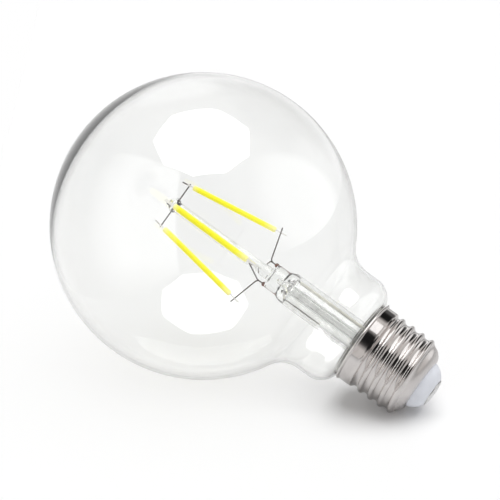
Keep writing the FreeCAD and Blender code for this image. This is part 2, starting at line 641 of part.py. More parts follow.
# Moulded insulator with a collar inside the cap, and the riveted centre contact below it
def insulator():
    stem = "(sizes.contact_stem_diameter / 2)"
    collar_bore = f"({COLLAR_R} - sizes.collar_width)"
    return turned_piece("insulator", [
        (stem, "sizes.tip_height"),
        (TIP_R, "sizes.tip_height", "sizes.insulator_round", 1),
        (LIP_R, "sizes.lip_height"),
        (LIP_R, COLLAR_FOOT),
        (COLLAR_R, COLLAR_FOOT),
        (COLLAR_R, BOARD_FOOT),
        (collar_bore, BOARD_FOOT),
        (collar_bore, "sizes.insulator_floor"),
        (stem, "sizes.insulator_floor"),
    ])


def centre_contact():
    stem = "(sizes.contact_stem_diameter / 2)"
    edge_r = f"({TIP_R} - sizes.contact_margin)"
    edge_z = "(sizes.tip_height - sizes.contact_edge)"
    dome = f"(({edge_r} ^ 2 + {edge_z} ^ 2) / (2 * {edge_z}))"
    return turned_piece("centre_contact", [
        ("0", "0", dome, 1),
        (edge_r, edge_z),
        (edge_r, "sizes.tip_height"),
        (stem, "sizes.tip_height"),
        (stem, "sizes.insulator_floor"),
        ("0", "sizes.insulator_floor"),
    ])


# Side wire from the board to the rim, in the gap between glass seat and cap
SIDE_WIRE_X = f"({SEAT_R} + sizes.seat_clearance / 2)"
SIDE_WIRE_D = "(sizes.seat_clearance - 2 * sizes.side_wire_clearance)"
BOARD_R = f"({ROOT_BORE} - sizes.board_clearance)"


def side_wire():
    pad_x = f"({BOARD_R} - sizes.pad_inset)"
    out = f"({SIDE_WIRE_X} - {pad_x})"
    lean_top = "(sizes.side_wire_rise + sizes.side_wire_slope)"
    wire = bent_wire("side_wire", [
        ("0", "0"),
        ("0", "sizes.side_wire_rise"),
        (out, lean_top),
        (out, f"{NOTCH_FOOT} - {BOARD_TOP}"),
    ], SIDE_WIRE_D)
    place(wire, x=pad_x, z=BOARD_TOP)
    return wire


# Cement between glass seat and skirt, with the side wire running through it
def cement_ring():
    ring = turned_piece("cement_blank", tube_corners(
        SEAT_R, SKIRT_BORE, f"{SKIRT_FOOT} + sizes.cement_inset", NOTCH_FOOT))
    hole = rod("cement_hole", f"{SIDE_WIRE_D} / 2", "sizes.cap_length")
    place(hole, x=SIDE_WIRE_X)
    return cut("cement", ring, [hole])


# Solder in the rim's notch, rounded where it stands out beyond the rim
def rim_solder():
    inner = f"({SEAT_R} + sizes.side_wire_clearance)"
    outer = f"({RIM_R} + sizes.solder_proud)"
    bar = block("solder_bar", f"{outer} - {inner}", "sizes.notch_width", "sizes.notch_depth")
    place(bar, x=inner, y="-sizes.notch_width / 2", z=NOTCH_FOOT)
    bulge_r = f"(({outer} - {inner}) / 2)"
    bulge = rod("solder_bulge", bulge_r, "sizes.cap_length")
    place(bulge, x=f"{outer} - {bulge_r}", z="0")
    bead = doc.addObject("Part::Common", "solder_bead")
    bead.Base = bar
    bead.Tool = bulge
    return bead


# Driver: a round board on the insulator's collar, with its components and the live wire
def driver():
    board = rod("board", BOARD_R, "sizes.board_thickness")
    place(board, z=BOARD_FOOT)
    keep(board, "driver_board")

    live = rod("live", "sizes.live_wire_diameter / 2", f"{BOARD_FOOT} - sizes.insulator_floor")
    place(live, z="sizes.insulator_floor")
    keep(live, "live_wire")

    can_r = "(sizes.capacitor_diameter / 2)"
    can = turned_piece("capacitor_can", [
        ("0", "0"),
        (can_r, "0"),
        (can_r, "sizes.groove_height - sizes.capacitor_groove"),
        (f"{can_r} - sizes.capacitor_groove", "sizes.groove_height"),
        (can_r, "sizes.groove_height + sizes.capacitor_groove"),
        (can_r, "sizes.capacitor_height"),
        ("0", "sizes.capacitor_height"),
    ])
    place(can, y="sizes.capacitor_offset", z=BOARD_TOP)
    keep(can, "smoothing_capacitor")

    fuse_r = "(sizes.fuse_diameter / 2)"
    waist_r = f"({fuse_r} - sizes.fuse_waist)"
    fuse = turned_piece("fuse_body", [
        ("0", "0"),
        (fuse_r, "0"),
        (fuse_r, "sizes.fuse_cap"),
        (waist_r, "sizes.fuse_cap"),
        (waist_r, "sizes.fuse_length - sizes.fuse_cap"),
        (fuse_r, "sizes.fuse_length - sizes.fuse_cap"),
        (fuse_r, "sizes.fuse_length"),
        ("0", "sizes.fuse_length"),
    ])
    fuse_z = f"{BOARD_TOP} + {fuse_r}"
    place(fuse, x="-sizes.fuse_length / 2", y="-sizes.fuse_offset", z=fuse_z, inner="rotationy(90)")
    keep(fuse, "fusible_resistor")

    for name, length, side in (
        ("bridge_rectifier", "sizes.bridge_length", "-1"),
        ("driver_chip", "sizes.chip_length", "1"),
    ):
        package = block(name, "sizes.package_width", length, "sizes.package_height")
        edge_x = f"{side} * sizes.package_offset - sizes.package_width / 2"
        package_foot = f"{BOARD_FOOT} - sizes.package_height"
        place(package, x=edge_x, y=f"-{length} / 2", z=package_foot)
        keep(package, name)

    resistor = block("resistor", "sizes.resistor_width", "sizes.resistor_length", "sizes.resistor_height")
    resistor_x = "-sizes.resistor_offset - sizes.resistor_width / 2"
    place(resistor, x=resistor_x, y="-sizes.resistor_length / 2", z=BOARD_TOP)
    keep(resistor, "sense_resistor")


keep(glass_envelope(), "glass_envelope")
keep(stem_flare(), "stem_flare")
keep(exhaust_tube(), "exhaust_tube")
keep(support_post(), "support_post")
support_wires()
filaments()
lead_wires()
keep(screw_shell(), "screw_shell")
keep(insulator(), "insulator")
keep(centre_contact(), "centre_contact")
keep(side_wire(), "side_wire")
keep(cement_ring(), "cement_ring")
keep(rim_solder(), "rim_solder")
driver()
doc.recompute()

for item in doc.Objects:
    if "Invalid" in item.State or "Error" in item.State:
        raise RuntimeError("%s could not be built: %s" % (item.Name, item.State))
for piece in sub_parts:
    if piece.Shape.isNull() or not piece.Shape.isValid():
        raise RuntimeError("%s has no valid shape" % piece.Label)

os.makedirs("parts", exist_ok=True)
for piece in sub_parts:
    piece.Shape.exportStep(os.path.join("parts", piece.Label + ".step"))
print("%d sub-parts written" % len(sub_parts))
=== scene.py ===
import math

import bmesh
import bpy
from mathutils import Matrix, Vector


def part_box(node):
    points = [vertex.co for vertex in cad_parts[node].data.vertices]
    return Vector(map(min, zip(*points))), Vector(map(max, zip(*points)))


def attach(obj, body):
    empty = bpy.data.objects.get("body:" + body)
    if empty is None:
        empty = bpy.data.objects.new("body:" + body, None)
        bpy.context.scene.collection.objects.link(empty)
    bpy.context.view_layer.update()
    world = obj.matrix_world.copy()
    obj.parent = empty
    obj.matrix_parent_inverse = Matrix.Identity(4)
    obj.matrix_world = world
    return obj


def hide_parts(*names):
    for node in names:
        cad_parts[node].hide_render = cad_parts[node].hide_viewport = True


bl_info = {
    "name": "Globe bulb",
    "version": (1, 0, 0),
    "blender": (4, 5, 0),
    "location": "3D View > Sidebar > Globe bulb",
    "description": "Dresses the CAD frame of a clear globe filament lamp and sets up its studio",
    "category": "Object",
}

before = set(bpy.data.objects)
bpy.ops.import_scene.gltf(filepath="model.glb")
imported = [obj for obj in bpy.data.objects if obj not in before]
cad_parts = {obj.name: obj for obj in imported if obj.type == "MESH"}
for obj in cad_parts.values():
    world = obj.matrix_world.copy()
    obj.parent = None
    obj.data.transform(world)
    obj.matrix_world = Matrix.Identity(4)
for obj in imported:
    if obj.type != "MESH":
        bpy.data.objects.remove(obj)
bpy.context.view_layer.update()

MM = 0.001
BODY = "root"
GLASS_LOW, GLASS_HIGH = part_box("glass_envelope")
STEM_LOW, STEM_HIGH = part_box("stem_flare")
POST_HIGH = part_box("support_post")[1]
EXHAUST_LOW, EXHAUST_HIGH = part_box("exhaust_tube")
CAP_LOW, CAP_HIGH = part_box("screw_shell")
INSULATOR_LOW, INSULATOR_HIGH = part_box("insulator")
CONTACT_LOW, CONTACT_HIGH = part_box("centre_contact")
SOLDER_LOW, SOLDER_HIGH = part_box("rim_solder")
COAT_LOW, COAT_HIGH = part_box("right_filament_coat")

SIDES = (("right", 0), ("back", 90), ("left", 180), ("front", 270))

# Vertices closer than MERGE become one, and edges past SHARP stay sharp
MERGE = 0.002 * MM
SHARP = math.radians(38)

# Mesh attributes that finishes read
ALONG = "along"
CORNER = "corner"
SATIN = "satin"

# Handling marks: fine noise against the broad one, and the ranges that show
BROAD_DETAIL = 3.0
FINE_DETAIL = 5.0
FINE_SCALE = 9.0
SMUDGE_RANGE = (0.38, 0.68)
SCRATCH_RANGE = (0.58, 0.7)
BROAD_HEIGHT = 0.7
FINE_HEIGHT = 0.3

# Finishes: share of the tone in a stain, roughness that scratches add, depth of relief
METAL_STAIN = 0.86
METAL_WEAR = 0.12
MOULDED_STAIN = 0.93
MOULDED_WEAR = 0.1
RELIEF = 0.1 * MM
FINE_RELIEF = 0.05 * MM
RIPPLE_RELIEF = 0.2 * MM

# Glass: bending of light, and what passes to the things inside
GLASS_IOR = 1.5
GLASS_PASS = (0.985, 0.985, 0.985)

# Blown bulb: rows of its outline and steps round it
GLOBE_STEPS = 72
ROUND_STEPS = 16
GLASS_TURN = 144

# Rod, press and tubes of the stem
MOUNT_TURN = 72
TIP_SHARE = 0.45
TIP_DROP = 0.1
BEAD_HALF = 1.2 * MM
BEAD_CROWN = 0.6 * MM
LUMP = 0.55 * MM
LUMP_DEPTH = 0.2
CEILING_DEPTH = 0.35 * MM
PRESS_EDGE = 0.6 * MM
PRESS_BLEND = 2.5 * MM
TUBE_CROWN = 1.5 * MM
CROWN_FLAT = 2.2 * MM
EXHAUST_WALL = 0.6 * MM
OUTLET = 0.6 * MM
MOUNT_RIPPLE = 9

# Coats of the filaments: rounds as shares of the thickness, pale ends, warm mottling, and clear corners
# that are partly the silicone's own tone and partly painted sheen
SIDE_ROUND = 0.48
END_ROUND = 0.3
COAT_CUTS = 24
PALE_HEAD = 0.08
PALE_FOOT = 0.86
WARM_PHOSPHOR = (0.96, 0.8, 0.0)
WARM_SHARE = 0.3
CORNER_START = 0.5
CORNER_FULL = 0.8
CORNER_SHEEN = 0.25

# Strips of the filaments, with painted shade on their cut edges at the upper ends: heights are from the
# middle of the coat
PLATE = (0.9, 0.89, 0.86)
PLATE_STAIN = (0.8, 0.78, 0.74)
# Painted shade of the upper cut edges: its tone, the share for its darker mottle, where it starts above the
# middle and how fast it comes in
EDGE_SHADE = (0.14, 0.1, 0.08)
EDGE_SHADE_MOTTLE = 0.6
EDGE_SHADE_START = 16.0 * MM
EDGE_SHADE_BLEND = 0.6 * MM
STRIP_EDGE = 0.43 * MM

# Wires and sleeves
OXIDE_SHARES = (0.7, 0.55, 0.5)
COPPER = (0.27, 0.11, 0.07)
COPPER_STAIN = (0.09, 0.05, 0.04)
KNOT_TURN = math.radians(130)
KNOT_REACH = 4
BINDER = (0.96, 0.95, 0.92)
SLEEVES = (
    ("right_lead_sleeve", "bound_sleeve", (0.88, 0.86, 0.76), (0.94, 0.91, 0.8)),
    ("left_lead_sleeve", "bleached_sleeve", (0.95, 0.955, 0.95), (0.97, 0.975, 0.97)),
)
WEAVE_TILT = (0.0, 0.7, 0.7)
WEAVE_SCALE = 900.0
WEAVE_STRAY = 1.5

# Screw cap: rows, rim, thread with its run-out in turns, satin dome in pitches below the last crest
CAP_TURN = 160
THREAD_ROWS = 130
DOME_ROWS = 44
RIM_START = math.radians(40)
RIM_SWEEP = math.radians(190)
RIM_FOOT = 1.1
CREST_SHARE = 0.38
THREAD_BLEND = 1.2
RUN_OUT_END = -0.95
RUN_OUT_START = -0.5
SATIN_FULL = -0.35
SATIN_START = -0.15
BRIGHT_ROUGHNESS = 0.09
SATIN_ROUGHNESS = 0.2
PLATE_WEAR = 0.06
PLATE_SHADE = 0.92
ROLLING_SCALE = 1500.0
ROLLING_STRAY = 0.6
ROLLING_HEIGHT = 0.25

# Insulator and contact
RIVET_RADIUS = 1.2 * MM
TIP_EDGE = 0.3 * MM
COLLAR_RISE = 1.5 * MM
COLLAR_WIDTH = 1.4 * MM
CONTACT_EDGE = 0.3 * MM
TINNED = (0.92, 0.92, 0.915)

# Solder and cement
SOLDER = (0.62, 0.61, 0.60)
BULGE = 0.12
BULGE_WAVES = (9, 5)
SAG = 0.1
SAG_WAVES = 7
CEMENT = (0.86, 0.85, 0.82)
CEMENT_STAIN = (0.76, 0.75, 0.72)

# Floor: reach from the point below the globe, how it fades in reflections, share kept from clear ones
FLOOR_LEFT = 80 * MM
FLOOR_RIGHT = 700 * MM
FLOOR_BEHIND = 380 * MM
FLOOR_FRONT = 700 * MM
FLOOR_NEAR = 80 * MM
FLOOR_FAR = 320 * MM
FLOOR_FAR_GLOSS = 0.1
CLEAR_SHARE = 0.5

# Grey flag beyond the crown, seen through the glass alone
FLAG_WIDTH = 260 * MM
FLAG_DEPTH = 400 * MM
FLAG_START = 100 * MM
FLAG_BEHIND = 300 * MM
FLAG_LEVEL = 0.78

# Softbox with eight sides, and the key light that stands for it
SOFTBOX_SIDES = 8
SOFTBOX_RADIUS = 730 * MM
SOFTBOX_TURN = math.radians(-12.5)
SOFTBOX_BACK = 504 * MM
SOFTBOX_UP = 1134 * MM
KEY_ANGLE = math.radians(60)
KEY_TILT = math.radians(14)

# White behind the lamp, and how far the camera sees
BACKDROP = 1.0
CAMERA_REACH = 10.0

# Places in the room: direction as right, up and back, degrees where full and where gone, tone
PALE = 1.0
GREY = 0.28
DIM = 0.1
DARK = 0.011
ROOM_PLACES = (
    ((0.0, 0.0, -1.0), 40, 60, PALE),
    ((-0.06, 0.42, 0.91), 11, 28, DARK),
    ((-0.45, 0.42, 0.79), 12, 28, DARK),
    ((0.07, 0.04, 1.0), 14, 28, DARK),
    ((0.42, 0.7, -0.58), 12, 28, DIM),
    ((0.52, 0.82, -0.24), 10, 22, DARK),
    ((-0.89, 0.45, 0.02), 15, 40, GREY),
    ((0.88, 0.3, -0.3), 12, 26, PALE),
)

# Lights in clear reflections: tone, then edges as direction, start and full share
LEFT_LIGHT = 2.7
RIGHT_LIGHT = 2.3
TOP_LIGHT = 1.2
SIDE_LIGHTS = (
    (LEFT_LIGHT, (
        ((-0.95, 0.0, -0.31), 0.0, 0.03),
        ((-0.62, -0.69, 0.38), 0.0, 0.05),
        ((0.0, 1.0, 0.0), -0.75, -0.4),
        ((0.0, 0.0, 1.0), -0.1, 0.45),
    )),
    (RIGHT_LIGHT, (
        ((0.93, 0.3, 0.1), 0.72, 0.9),
        ((0.59, -0.62, 0.51), 0.0, 0.12),
    )),
    (TOP_LIGHT, (
        ((-0.17, 0.82, -0.54), 0.955, 0.985),
    )),
)


def length(name, description, default):
    """Property for a size in metres."""
    return bpy.props.FloatProperty(
        name=name, description=description, default=default, precision=5, unit="LENGTH", subtype="DISTANCE")


def turn(name, description, default):
    """Property for an angle, given in degrees."""
    return bpy.props.FloatProperty(
        name=name, description=description, default=math.radians(default), unit="ROTATION", subtype="ANGLE")


def level(name, description, default):
    """Property for a plain number."""
    return bpy.props.FloatProperty(name=name, description=description, default=default)


def colour(name, description, default):
    """Property for a colour."""
    return bpy.props.FloatVectorProperty(
        name=name, description=description, default=default, size=3, min=0.0, max=1.0, subtype="COLOR")


class GlobeBulbGlass(bpy.types.PropertyGroup):
    """Blown bulb and the drawn glass inside it"""

    globe_radius: length("Globe radius", "Outside of the blown globe", (GLASS_HIGH.x - GLASS_LOW.x) / 2)
    wall: length("Wall", "Thickness of the blown glass", 0.8 * MM)
    crown_wall: length("Crown wall", "Thicker glass at the crown of the globe", 1.5 * MM)
    crown_spread: length("Crown spread", "Radius over which the crown thins to the wall", 38 * MM)
    neck_radius: length("Neck radius", "Outside of the neck", 18.2 * MM)
    neck_fillet: length("Neck fillet", "Hollow curve between globe and neck", 9 * MM)
    neck_length: length("Neck length", "Straight part of the neck", 4 * MM)
    shoulder: length("Shoulder", "Round from the neck in to the cap", 7 * MM)
    seat_radius: length("Seat radius", "Glass seat inside the cap", STEM_HIGH.x)
    stem_radius: length("Stem radius", "Outside of the stem's tube", 5.2 * MM)
    stem_wall: length("Stem wall", "Wall of the stem's tube", 1 * MM)
    flare: length("Flare", "Height of the stem's flare", 5 * MM)
    press_half_width: length("Press half width", "Half of the press across the leads", 4.15 * MM)
    press_half_depth: length("Press half depth", "Half of the press from front to back", 2.4 * MM)
    press_length: length("Press length", "Flattened part of the stem", 4.5 * MM)
    press_taper: length("Press taper", "Change from round tube to flat press", 2.5 * MM)
    post_radius: length("Post radius", "Rod that carries the filaments", 1.75 * MM)
    foot_radius: length("Foot radius", "Spread foot of the rod on the press", 2.3 * MM)
    foot_height: length("Foot height", "Height over which the foot narrows to the rod", 5 * MM)
    bead_radius: length("Bead radius", "Bead at the head of the rod", POST_HIGH.x)
    tint: colour("Tint", "Colour of the blown glass", (0.957, 0.96, 0.955))
    mount_tint: colour("Mount tint", "Colour of the drawn glass inside", (0.925, 0.93, 0.922))
    ripple: level("Ripple", "How uneven the blown surface is", 0.012)


class GlobeBulbCap(bpy.types.PropertyGroup):
    """Rolled screw shell, insulator and contact"""

    root_radius: length("Root radius", "Bottom of the screw thread", 12.05 * MM)
    thread_depth: length("Thread depth", "Root to crest", 1 * MM)
    pitch: length("Pitch", "Lead of the thread", 3.629 * MM)
    first_crest: length("First crest", "Height of the lowest full crest on the +X side", 9.8 * MM)
    skirt_radius: length("Skirt radius", "Plain band above the thread", 13.1 * MM)
    skirt_foot: length("Skirt foot", "Lower end of the plain band", 23.3 * MM)
    rim_radius: length("Rim radius", "Outside of the rolled rim", CAP_HIGH.y)
    rim_height: length("Rim height", "Rolled rim along the axis", 0.9 * MM)
    sheet: length("Sheet", "Thickness of the metal", 0.3 * MM)
    dome: length("Dome", "Round below the thread", 4.7 * MM)
    lip_radius: length("Lip radius", "Hole that the insulator fills", 7.9 * MM)
    tip_radius: length("Tip radius", "Lower end of the insulator", 4.6 * MM)
    insulator_round: length("Insulator round", "Round of the insulator's cone", 6.5 * MM)
    metal: colour("Metal", "Nickel plate", (0.80, 0.765, 0.75))
    plastic: colour("Plastic", "Insulator", (0.80, 0.82, 0.88))


class GlobeBulbFilament(bpy.types.PropertyGroup):
    """Luminous filaments and their wires"""

    coat_length: length("Coat length", "Luminous length of a filament", 29.1 * MM)
    coat_width: length("Coat width", "Broad face of a filament", COAT_HIGH.y - COAT_LOW.y)
    coat_thickness: length("Coat thickness", "Filament through its thickness", 1.7 * MM)
    top_radius: length("Top radius", "Upper end from the axis", 7.8 * MM)
    foot_radius: length("Foot radius", "Lower end from the axis", 12.1 * MM)
    phosphor: colour("Phosphor", "Luminous coat", (0.95, 0.905, 0.006))
    pale: colour("Pale phosphor", "Thin ends of the coat", (0.98, 0.94, 0.4))
    # Rim colour is partly the clear silicone's own paler tone and partly painted sheen at the coat's sides
    rim: colour("Rim", "Clear silicone at the sides of the coat", (1.0, 0.98, 0.6))
    # Glow is painted light: emission that lifts the coat's yellow to full brightness
    glow: level("Glow", "Light given off by the coat", 0.32)
    weld: length("Weld", "Radius of the melted knots on the seal wires", 0.72 * MM)
    wire: colour("Wire", "Drawn nickel wire", (0.11, 0.1, 0.095))


class GlobeBulbStage(bpy.types.PropertyGroup):
    """Camera, floor and light"""

    azimuth: turn("Azimuth", "Camera round the lamp's axis, from the front", 2.05)
    elevation: turn("Elevation", "Camera above the plane across the lamp's axis", -9.06)
    roll: turn("Roll", "Camera about its own line of sight", 54.0)
    angle: turn("Angle of view", "Width of the picture", 11.894)
    distance: length("Distance", "Camera to the middle of the globe along its line of sight", 742.2 * MM)
    aim_right: length("Aim right", "Picture's middle to the right of the globe's", 14.37 * MM)
    aim_up: length("Aim up", "Picture's middle above the globe's", -7.36 * MM)
    floor_elevation: turn("Floor elevation", "Line of sight down to the floor", 25.03)
    floor_white: level("Floor white", "Share of light that the floor gives back", 0.92)
    floor_lift: level("Floor lift", "White that the floor adds in the picture", 0.05)
    floor_gloss: level("Floor in gloss", "Brightness of the floor in reflections", 0.72)
    world_level: level("World level", "Even light from all sides", 0.42)
    key_level: level("Key level", "Soft light from above", 0.64)
    softbox_level: level("Softbox level", "Brightness of the softbox in clear reflections", 5.0)
    softbox_sheen: level("Softbox sheen", "Brightness of the softbox in blurred reflections", 1.25)
    room: colour("Room", "Pale room that polished surfaces reflect", (0.62, 0.6, 0.585))


class Lathe:
    """An outline drawn in the XZ plane point by point, then turned about the lamp's axis."""

    def __init__(self, radius, height):
        self.mesh = bmesh.new()
        self.tip = self.mesh.verts.new((radius, 0, height))

    def line(self, radius, height, steps=1):
        """Straight run to a point, in equal steps."""
        start = self.tip.co.copy()
        end = Vector((radius, 0, height))
        for step in range(steps):
            made = bmesh.ops.extrude_vert_indiv(self.mesh, verts=[self.tip])
            self.tip = made["verts"][0]
            self.tip.co = start.lerp(end, (step + 1) / steps)

    def arc(self, radius, height, angle, steps):
        """Arc about a centre, anticlockwise where the angle is positive."""
        made = bmesh.ops.spin(
            self.mesh, geom=[self.tip], cent=(radius, 0, height), axis=(0, -1, 0),
            angle=angle, steps=steps, use_merge=False)
        self.tip = [item for item in made["geom_last"] if isinstance(item, bmesh.types.BMVert)][0]

    def turn(self, steps):
        """Turn the outline once round and give back the closed mesh."""
        mesh = self.mesh
        bmesh.ops.spin(
            mesh, geom=mesh.verts[:] + mesh.edges[:], cent=(0, 0, 0), axis=(0, 0, 1),
            angle=math.tau, steps=steps, use_merge=True)
        bmesh.ops.remove_doubles(mesh, verts=mesh.verts, dist=MERGE)
        bmesh.ops.recalc_face_normals(mesh, faces=mesh.faces)
        return mesh


def smooth_step(low, high, value):
    """0 below low, 1 above high and a soft change between."""
    share = min(max((value - low) / (high - low), 0.0), 1.0)
    return share * share * (3 - 2 * share)


def rise(edge):
    """Height between the ends of an edge."""
    return abs(edge.verts[0].co.z - edge.verts[1].co.z)


def new_object(name, mesh, material):
    """Object at the origin from a finished mesh, which is then freed."""
    data = bpy.data.meshes.new(name)
    mesh.to_mesh(data)
    mesh.free()
    data.materials.append(material)
    made = bpy.data.objects.new(name, data)
    bpy.context.scene.collection.objects.link(made)
    return made


def add_piece(name, mesh, material, slot, *nodes):
    """Make a piece of the lamp from a finished mesh, in place of the CAD nodes named."""
    piece = new_object(name, mesh, material)
    piece.data.shade_smooth()
    piece.data.set_sharp_from_angle(angle=SHARP)
    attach(piece, BODY)
    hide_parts(*nodes)
    return piece


def add_stage_piece(name, mesh, material):
    """Make a part of the studio that isn't part of the lamp."""
    piece = new_object(name, mesh, material)
    return piece


def hide_from(piece, *rays):
    """Keep an object out of the kinds of ray named."""
    for ray in rays:
        setattr(piece, "visible_" + ray, False)


def dress(material, *nodes):
    """Give CAD nodes that keep their shape a finish."""
    for name in nodes:
        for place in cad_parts[name].material_slots:
            place.material = material


def add(tree, kind, inputs=None, **settings):
    """Add a node, set its options, and set or link its inputs."""
    made = tree.nodes.new(kind)
    for key, value in settings.items():
        setattr(made, key, value)
    for key, value in (inputs or {}).items():
        if isinstance(value, bpy.types.NodeSocket):
            tree.links.new(value, made.inputs[key])
        else:
            made.inputs[key].default_value = value
    return made


def math_node(tree, operation, first, second=0.5, third=0.5):
    """Result of one operation on up to three values."""
    inputs = {0: first, 1: second, 2: third}
    return add(tree, "ShaderNodeMath", inputs, operation=operation).outputs[0]


def vector_node(tree, operation, first, second, output):
    """Result of one operation on two vectors."""
    inputs = {0: first, 1: second}
    return add(tree, "ShaderNodeVectorMath", inputs, operation=operation).outputs[output]


def mix_colour(tree, factor, first, second):
    """Colour between two colours."""
    node = add(tree, "ShaderNodeMix", {0: factor, 6: first, 7: second}, data_type="RGBA")
    return node.outputs[2]


def remap(tree, value, low, high, to_low=0.0, to_high=1.0):
    """Value carried from one range to another, held at its ends."""
    inputs = {"Value": value, "From Min": low, "From Max": high, "To Min": to_low, "To Max": to_high}
    return add(tree, "ShaderNodeMapRange", inputs).outputs["Result"]


def noise(tree, where, scale, detail):
    """Cloudy value about a half."""
    inputs = {"Vector": where, "Scale": scale, "Detail": detail}
    return add(tree, "ShaderNodeTexNoise", inputs).outputs["Fac"]


def bands(tree, where, scale, stray, direction):
    """Parallel bands across a direction."""
    inputs = {"Vector": where, "Scale": scale, "Distortion": stray}
    return add(tree, "ShaderNodeTexWave", inputs, bands_direction=direction).outputs["Fac"]


def attribute(tree, name):
    """Value that a mesh carries on its vertices."""
    return add(tree, "ShaderNodeAttribute", attribute_name=name).outputs["Fac"]


def ramp(tree, value, stops):
    """Colour from a list of places and colours."""
    node = add(tree, "ShaderNodeValToRGB", {"Fac": value})
    points = node.color_ramp.elements
    for place, _ in stops[2:]:
        points.new(place)
    for point, (place, tone) in zip(points, stops):
        point.position = place
        point.color = opaque(tone)
    return node.outputs["Color"]


def opaque(tone):
    """Colour with full cover."""
    return (*tone[:3], 1.0)


def grey(tone):
    """Colourless tone with full cover."""
    return (tone, tone, tone, 1.0)


def shade(tone, share):
    """Darker or lighter tone of a colour."""
    return tuple(min(part * share, 1.0) for part in tone[:3])


def finish(name, constants=None):
    """New material with constants on its Principled BSDF, its tree, that shader and object coordinates."""
    material = bpy.data.materials.new(name)
    material.use_nodes = True
    tree = material.node_tree
    surface = tree.nodes["Principled BSDF"]
    for socket, value in (constants or {}).items():
        surface.inputs[socket].default_value = value
    where = add(tree, "ShaderNodeTexCoord").outputs["Object"]
    return material, tree, surface, where


def bare_finish(name):
    """New material without a shader, and its tree."""
    material = bpy.data.materials.new(name)
    material.use_nodes = True
    tree = material.node_tree
    tree.nodes.remove(tree.nodes["Principled BSDF"])
    return material, tree


def show(tree, shader):
    """Make a shader the surface of its material."""
    tree.links.new(shader.outputs[0], tree.nodes["Material Output"].inputs["Surface"])


def bump(tree, surface, height, strength, distance):
    """Raise a surface by a height."""
    node = add(tree, "ShaderNodeBump", {"Height": height, "Strength": strength, "Distance": distance})
    tree.links.new(node.outputs["Normal"], surface.inputs["Normal"])


def new_group(name, inputs, outputs):
    """Shared effect with a vector and values in, and named values out."""
    group = bpy.data.node_groups.new(name, "ShaderNodeTree")
    group.interface.new_socket("Vector", in_out="INPUT", socket_type="NodeSocketVector")
    for label, value in inputs.items():
        socket = group.interface.new_socket(label, in_out="INPUT", socket_type="NodeSocketFloat")
        socket.default_value = value
    for label in outputs:
        group.interface.new_socket(label, in_out="OUTPUT", socket_type="NodeSocketFloat")
    entry = group.nodes.new("NodeGroupInput")
    leave = group.nodes.new("NodeGroupOutput")
    return group, entry.outputs, leave.inputs


def handling_marks():
    """Smudges, fine scratches and a little unevenness, as left by making and handling."""
    name = "handling_marks"
    if name in bpy.data.node_groups:
        return bpy.data.node_groups[name]
    group, given, out = new_group(name, {"Scale": 300.0, "Stretch": 1.0}, ("Smudge", "Scratch", "Height"))
    stretched = add(group, "ShaderNodeCombineXYZ", {0: 1.0, 1: 1.0, 2: given["Stretch"]}).outputs[0]
    place = vector_node(group, "MULTIPLY", given["Vector"], stretched, "Vector")
    broad = noise(group, place, given["Scale"], BROAD_DETAIL)
    fine = noise(group, place, math_node(group, "MULTIPLY", given["Scale"], FINE_SCALE), FINE_DETAIL)
    broad_height = math_node(group, "MULTIPLY", broad, BROAD_HEIGHT)
    marks = {
        "Smudge": remap(group, broad, *SMUDGE_RANGE),
        "Scratch": remap(group, fine, *SCRATCH_RANGE),
        "Height": math_node(group, "MULTIPLY_ADD", fine, FINE_HEIGHT, broad_height),
    }
    for label, value in marks.items():
        group.links.new(value, out[label])
    return group


def marks_on(tree, where, scale, stretch=1.0):
    """Place the handling marks in a material and give back their outputs."""
    inputs = {"Vector": where, "Scale": scale, "Stretch": stretch}
    return add(tree, "ShaderNodeGroup", inputs, node_tree=handling_marks()).outputs


def clear_glass(name, tint, roughness, scale, stretch, ripple):
    """Clear glass with a slightly uneven surface, which lets light through to what it holds."""
    constants = {
        "Base Color": opaque(tint),
        "Roughness": roughness,
        "IOR": GLASS_IOR,
        "Transmission Weight": 1.0,
    }
    material, tree, surface, where = finish(name, constants)
    marks = marks_on(tree, where, scale, stretch)
    bump(tree, surface, marks["Height"], ripple, RIPPLE_RELIEF)
    path = add(tree, "ShaderNodeLightPath").outputs
    lit = math_node(tree, "MAXIMUM", path["Is Shadow Ray"], path["Is Diffuse Ray"])
    through = add(tree, "ShaderNodeBsdfTransparent", {"Color": opaque(GLASS_PASS)})
    show(tree, add(tree, "ShaderNodeMixShader", {0: lit, 1: surface.outputs[0], 2: through.outputs[0]}))
    return material


def marked(name, constants, tone, stain, roughness, wear, scale, stretch, depth):
    """Finish with smudges of a second tone, and scratches that roughen it."""
    material, tree, surface, where = finish(name, constants)
    marks = marks_on(tree, where, scale, stretch)
    tinted = mix_colour(tree, marks["Smudge"], opaque(tone), opaque(stain))
    tree.links.new(tinted, surface.inputs["Base Color"])
    uneven = math_node(tree, "MULTIPLY_ADD", marks["Scratch"], wear, roughness)
    tree.links.new(uneven, surface.inputs["Roughness"])
    bump(tree, surface, marks["Height"], depth, RELIEF)
    return material


def metal(name, tone, roughness, scale, stretch=1.0, stain=None, depth=0.02):
    """Bare or plated metal with smudges, drawing lines and a stain of another tone."""
    stain = stain or shade(tone, METAL_STAIN)
    return marked(name, {"Metallic": 1.0}, tone, stain, roughness, METAL_WEAR, scale, stretch, depth)


def moulded(name, tone, roughness, scale, stain=None, depth=0.05):
    """Moulded, cast or lacquered material with faint mottling."""
    stain = stain or shade(tone, MOULDED_STAIN)
    return marked(name, None, tone, stain, roughness, MOULDED_WEAR, scale, 1.0, depth)


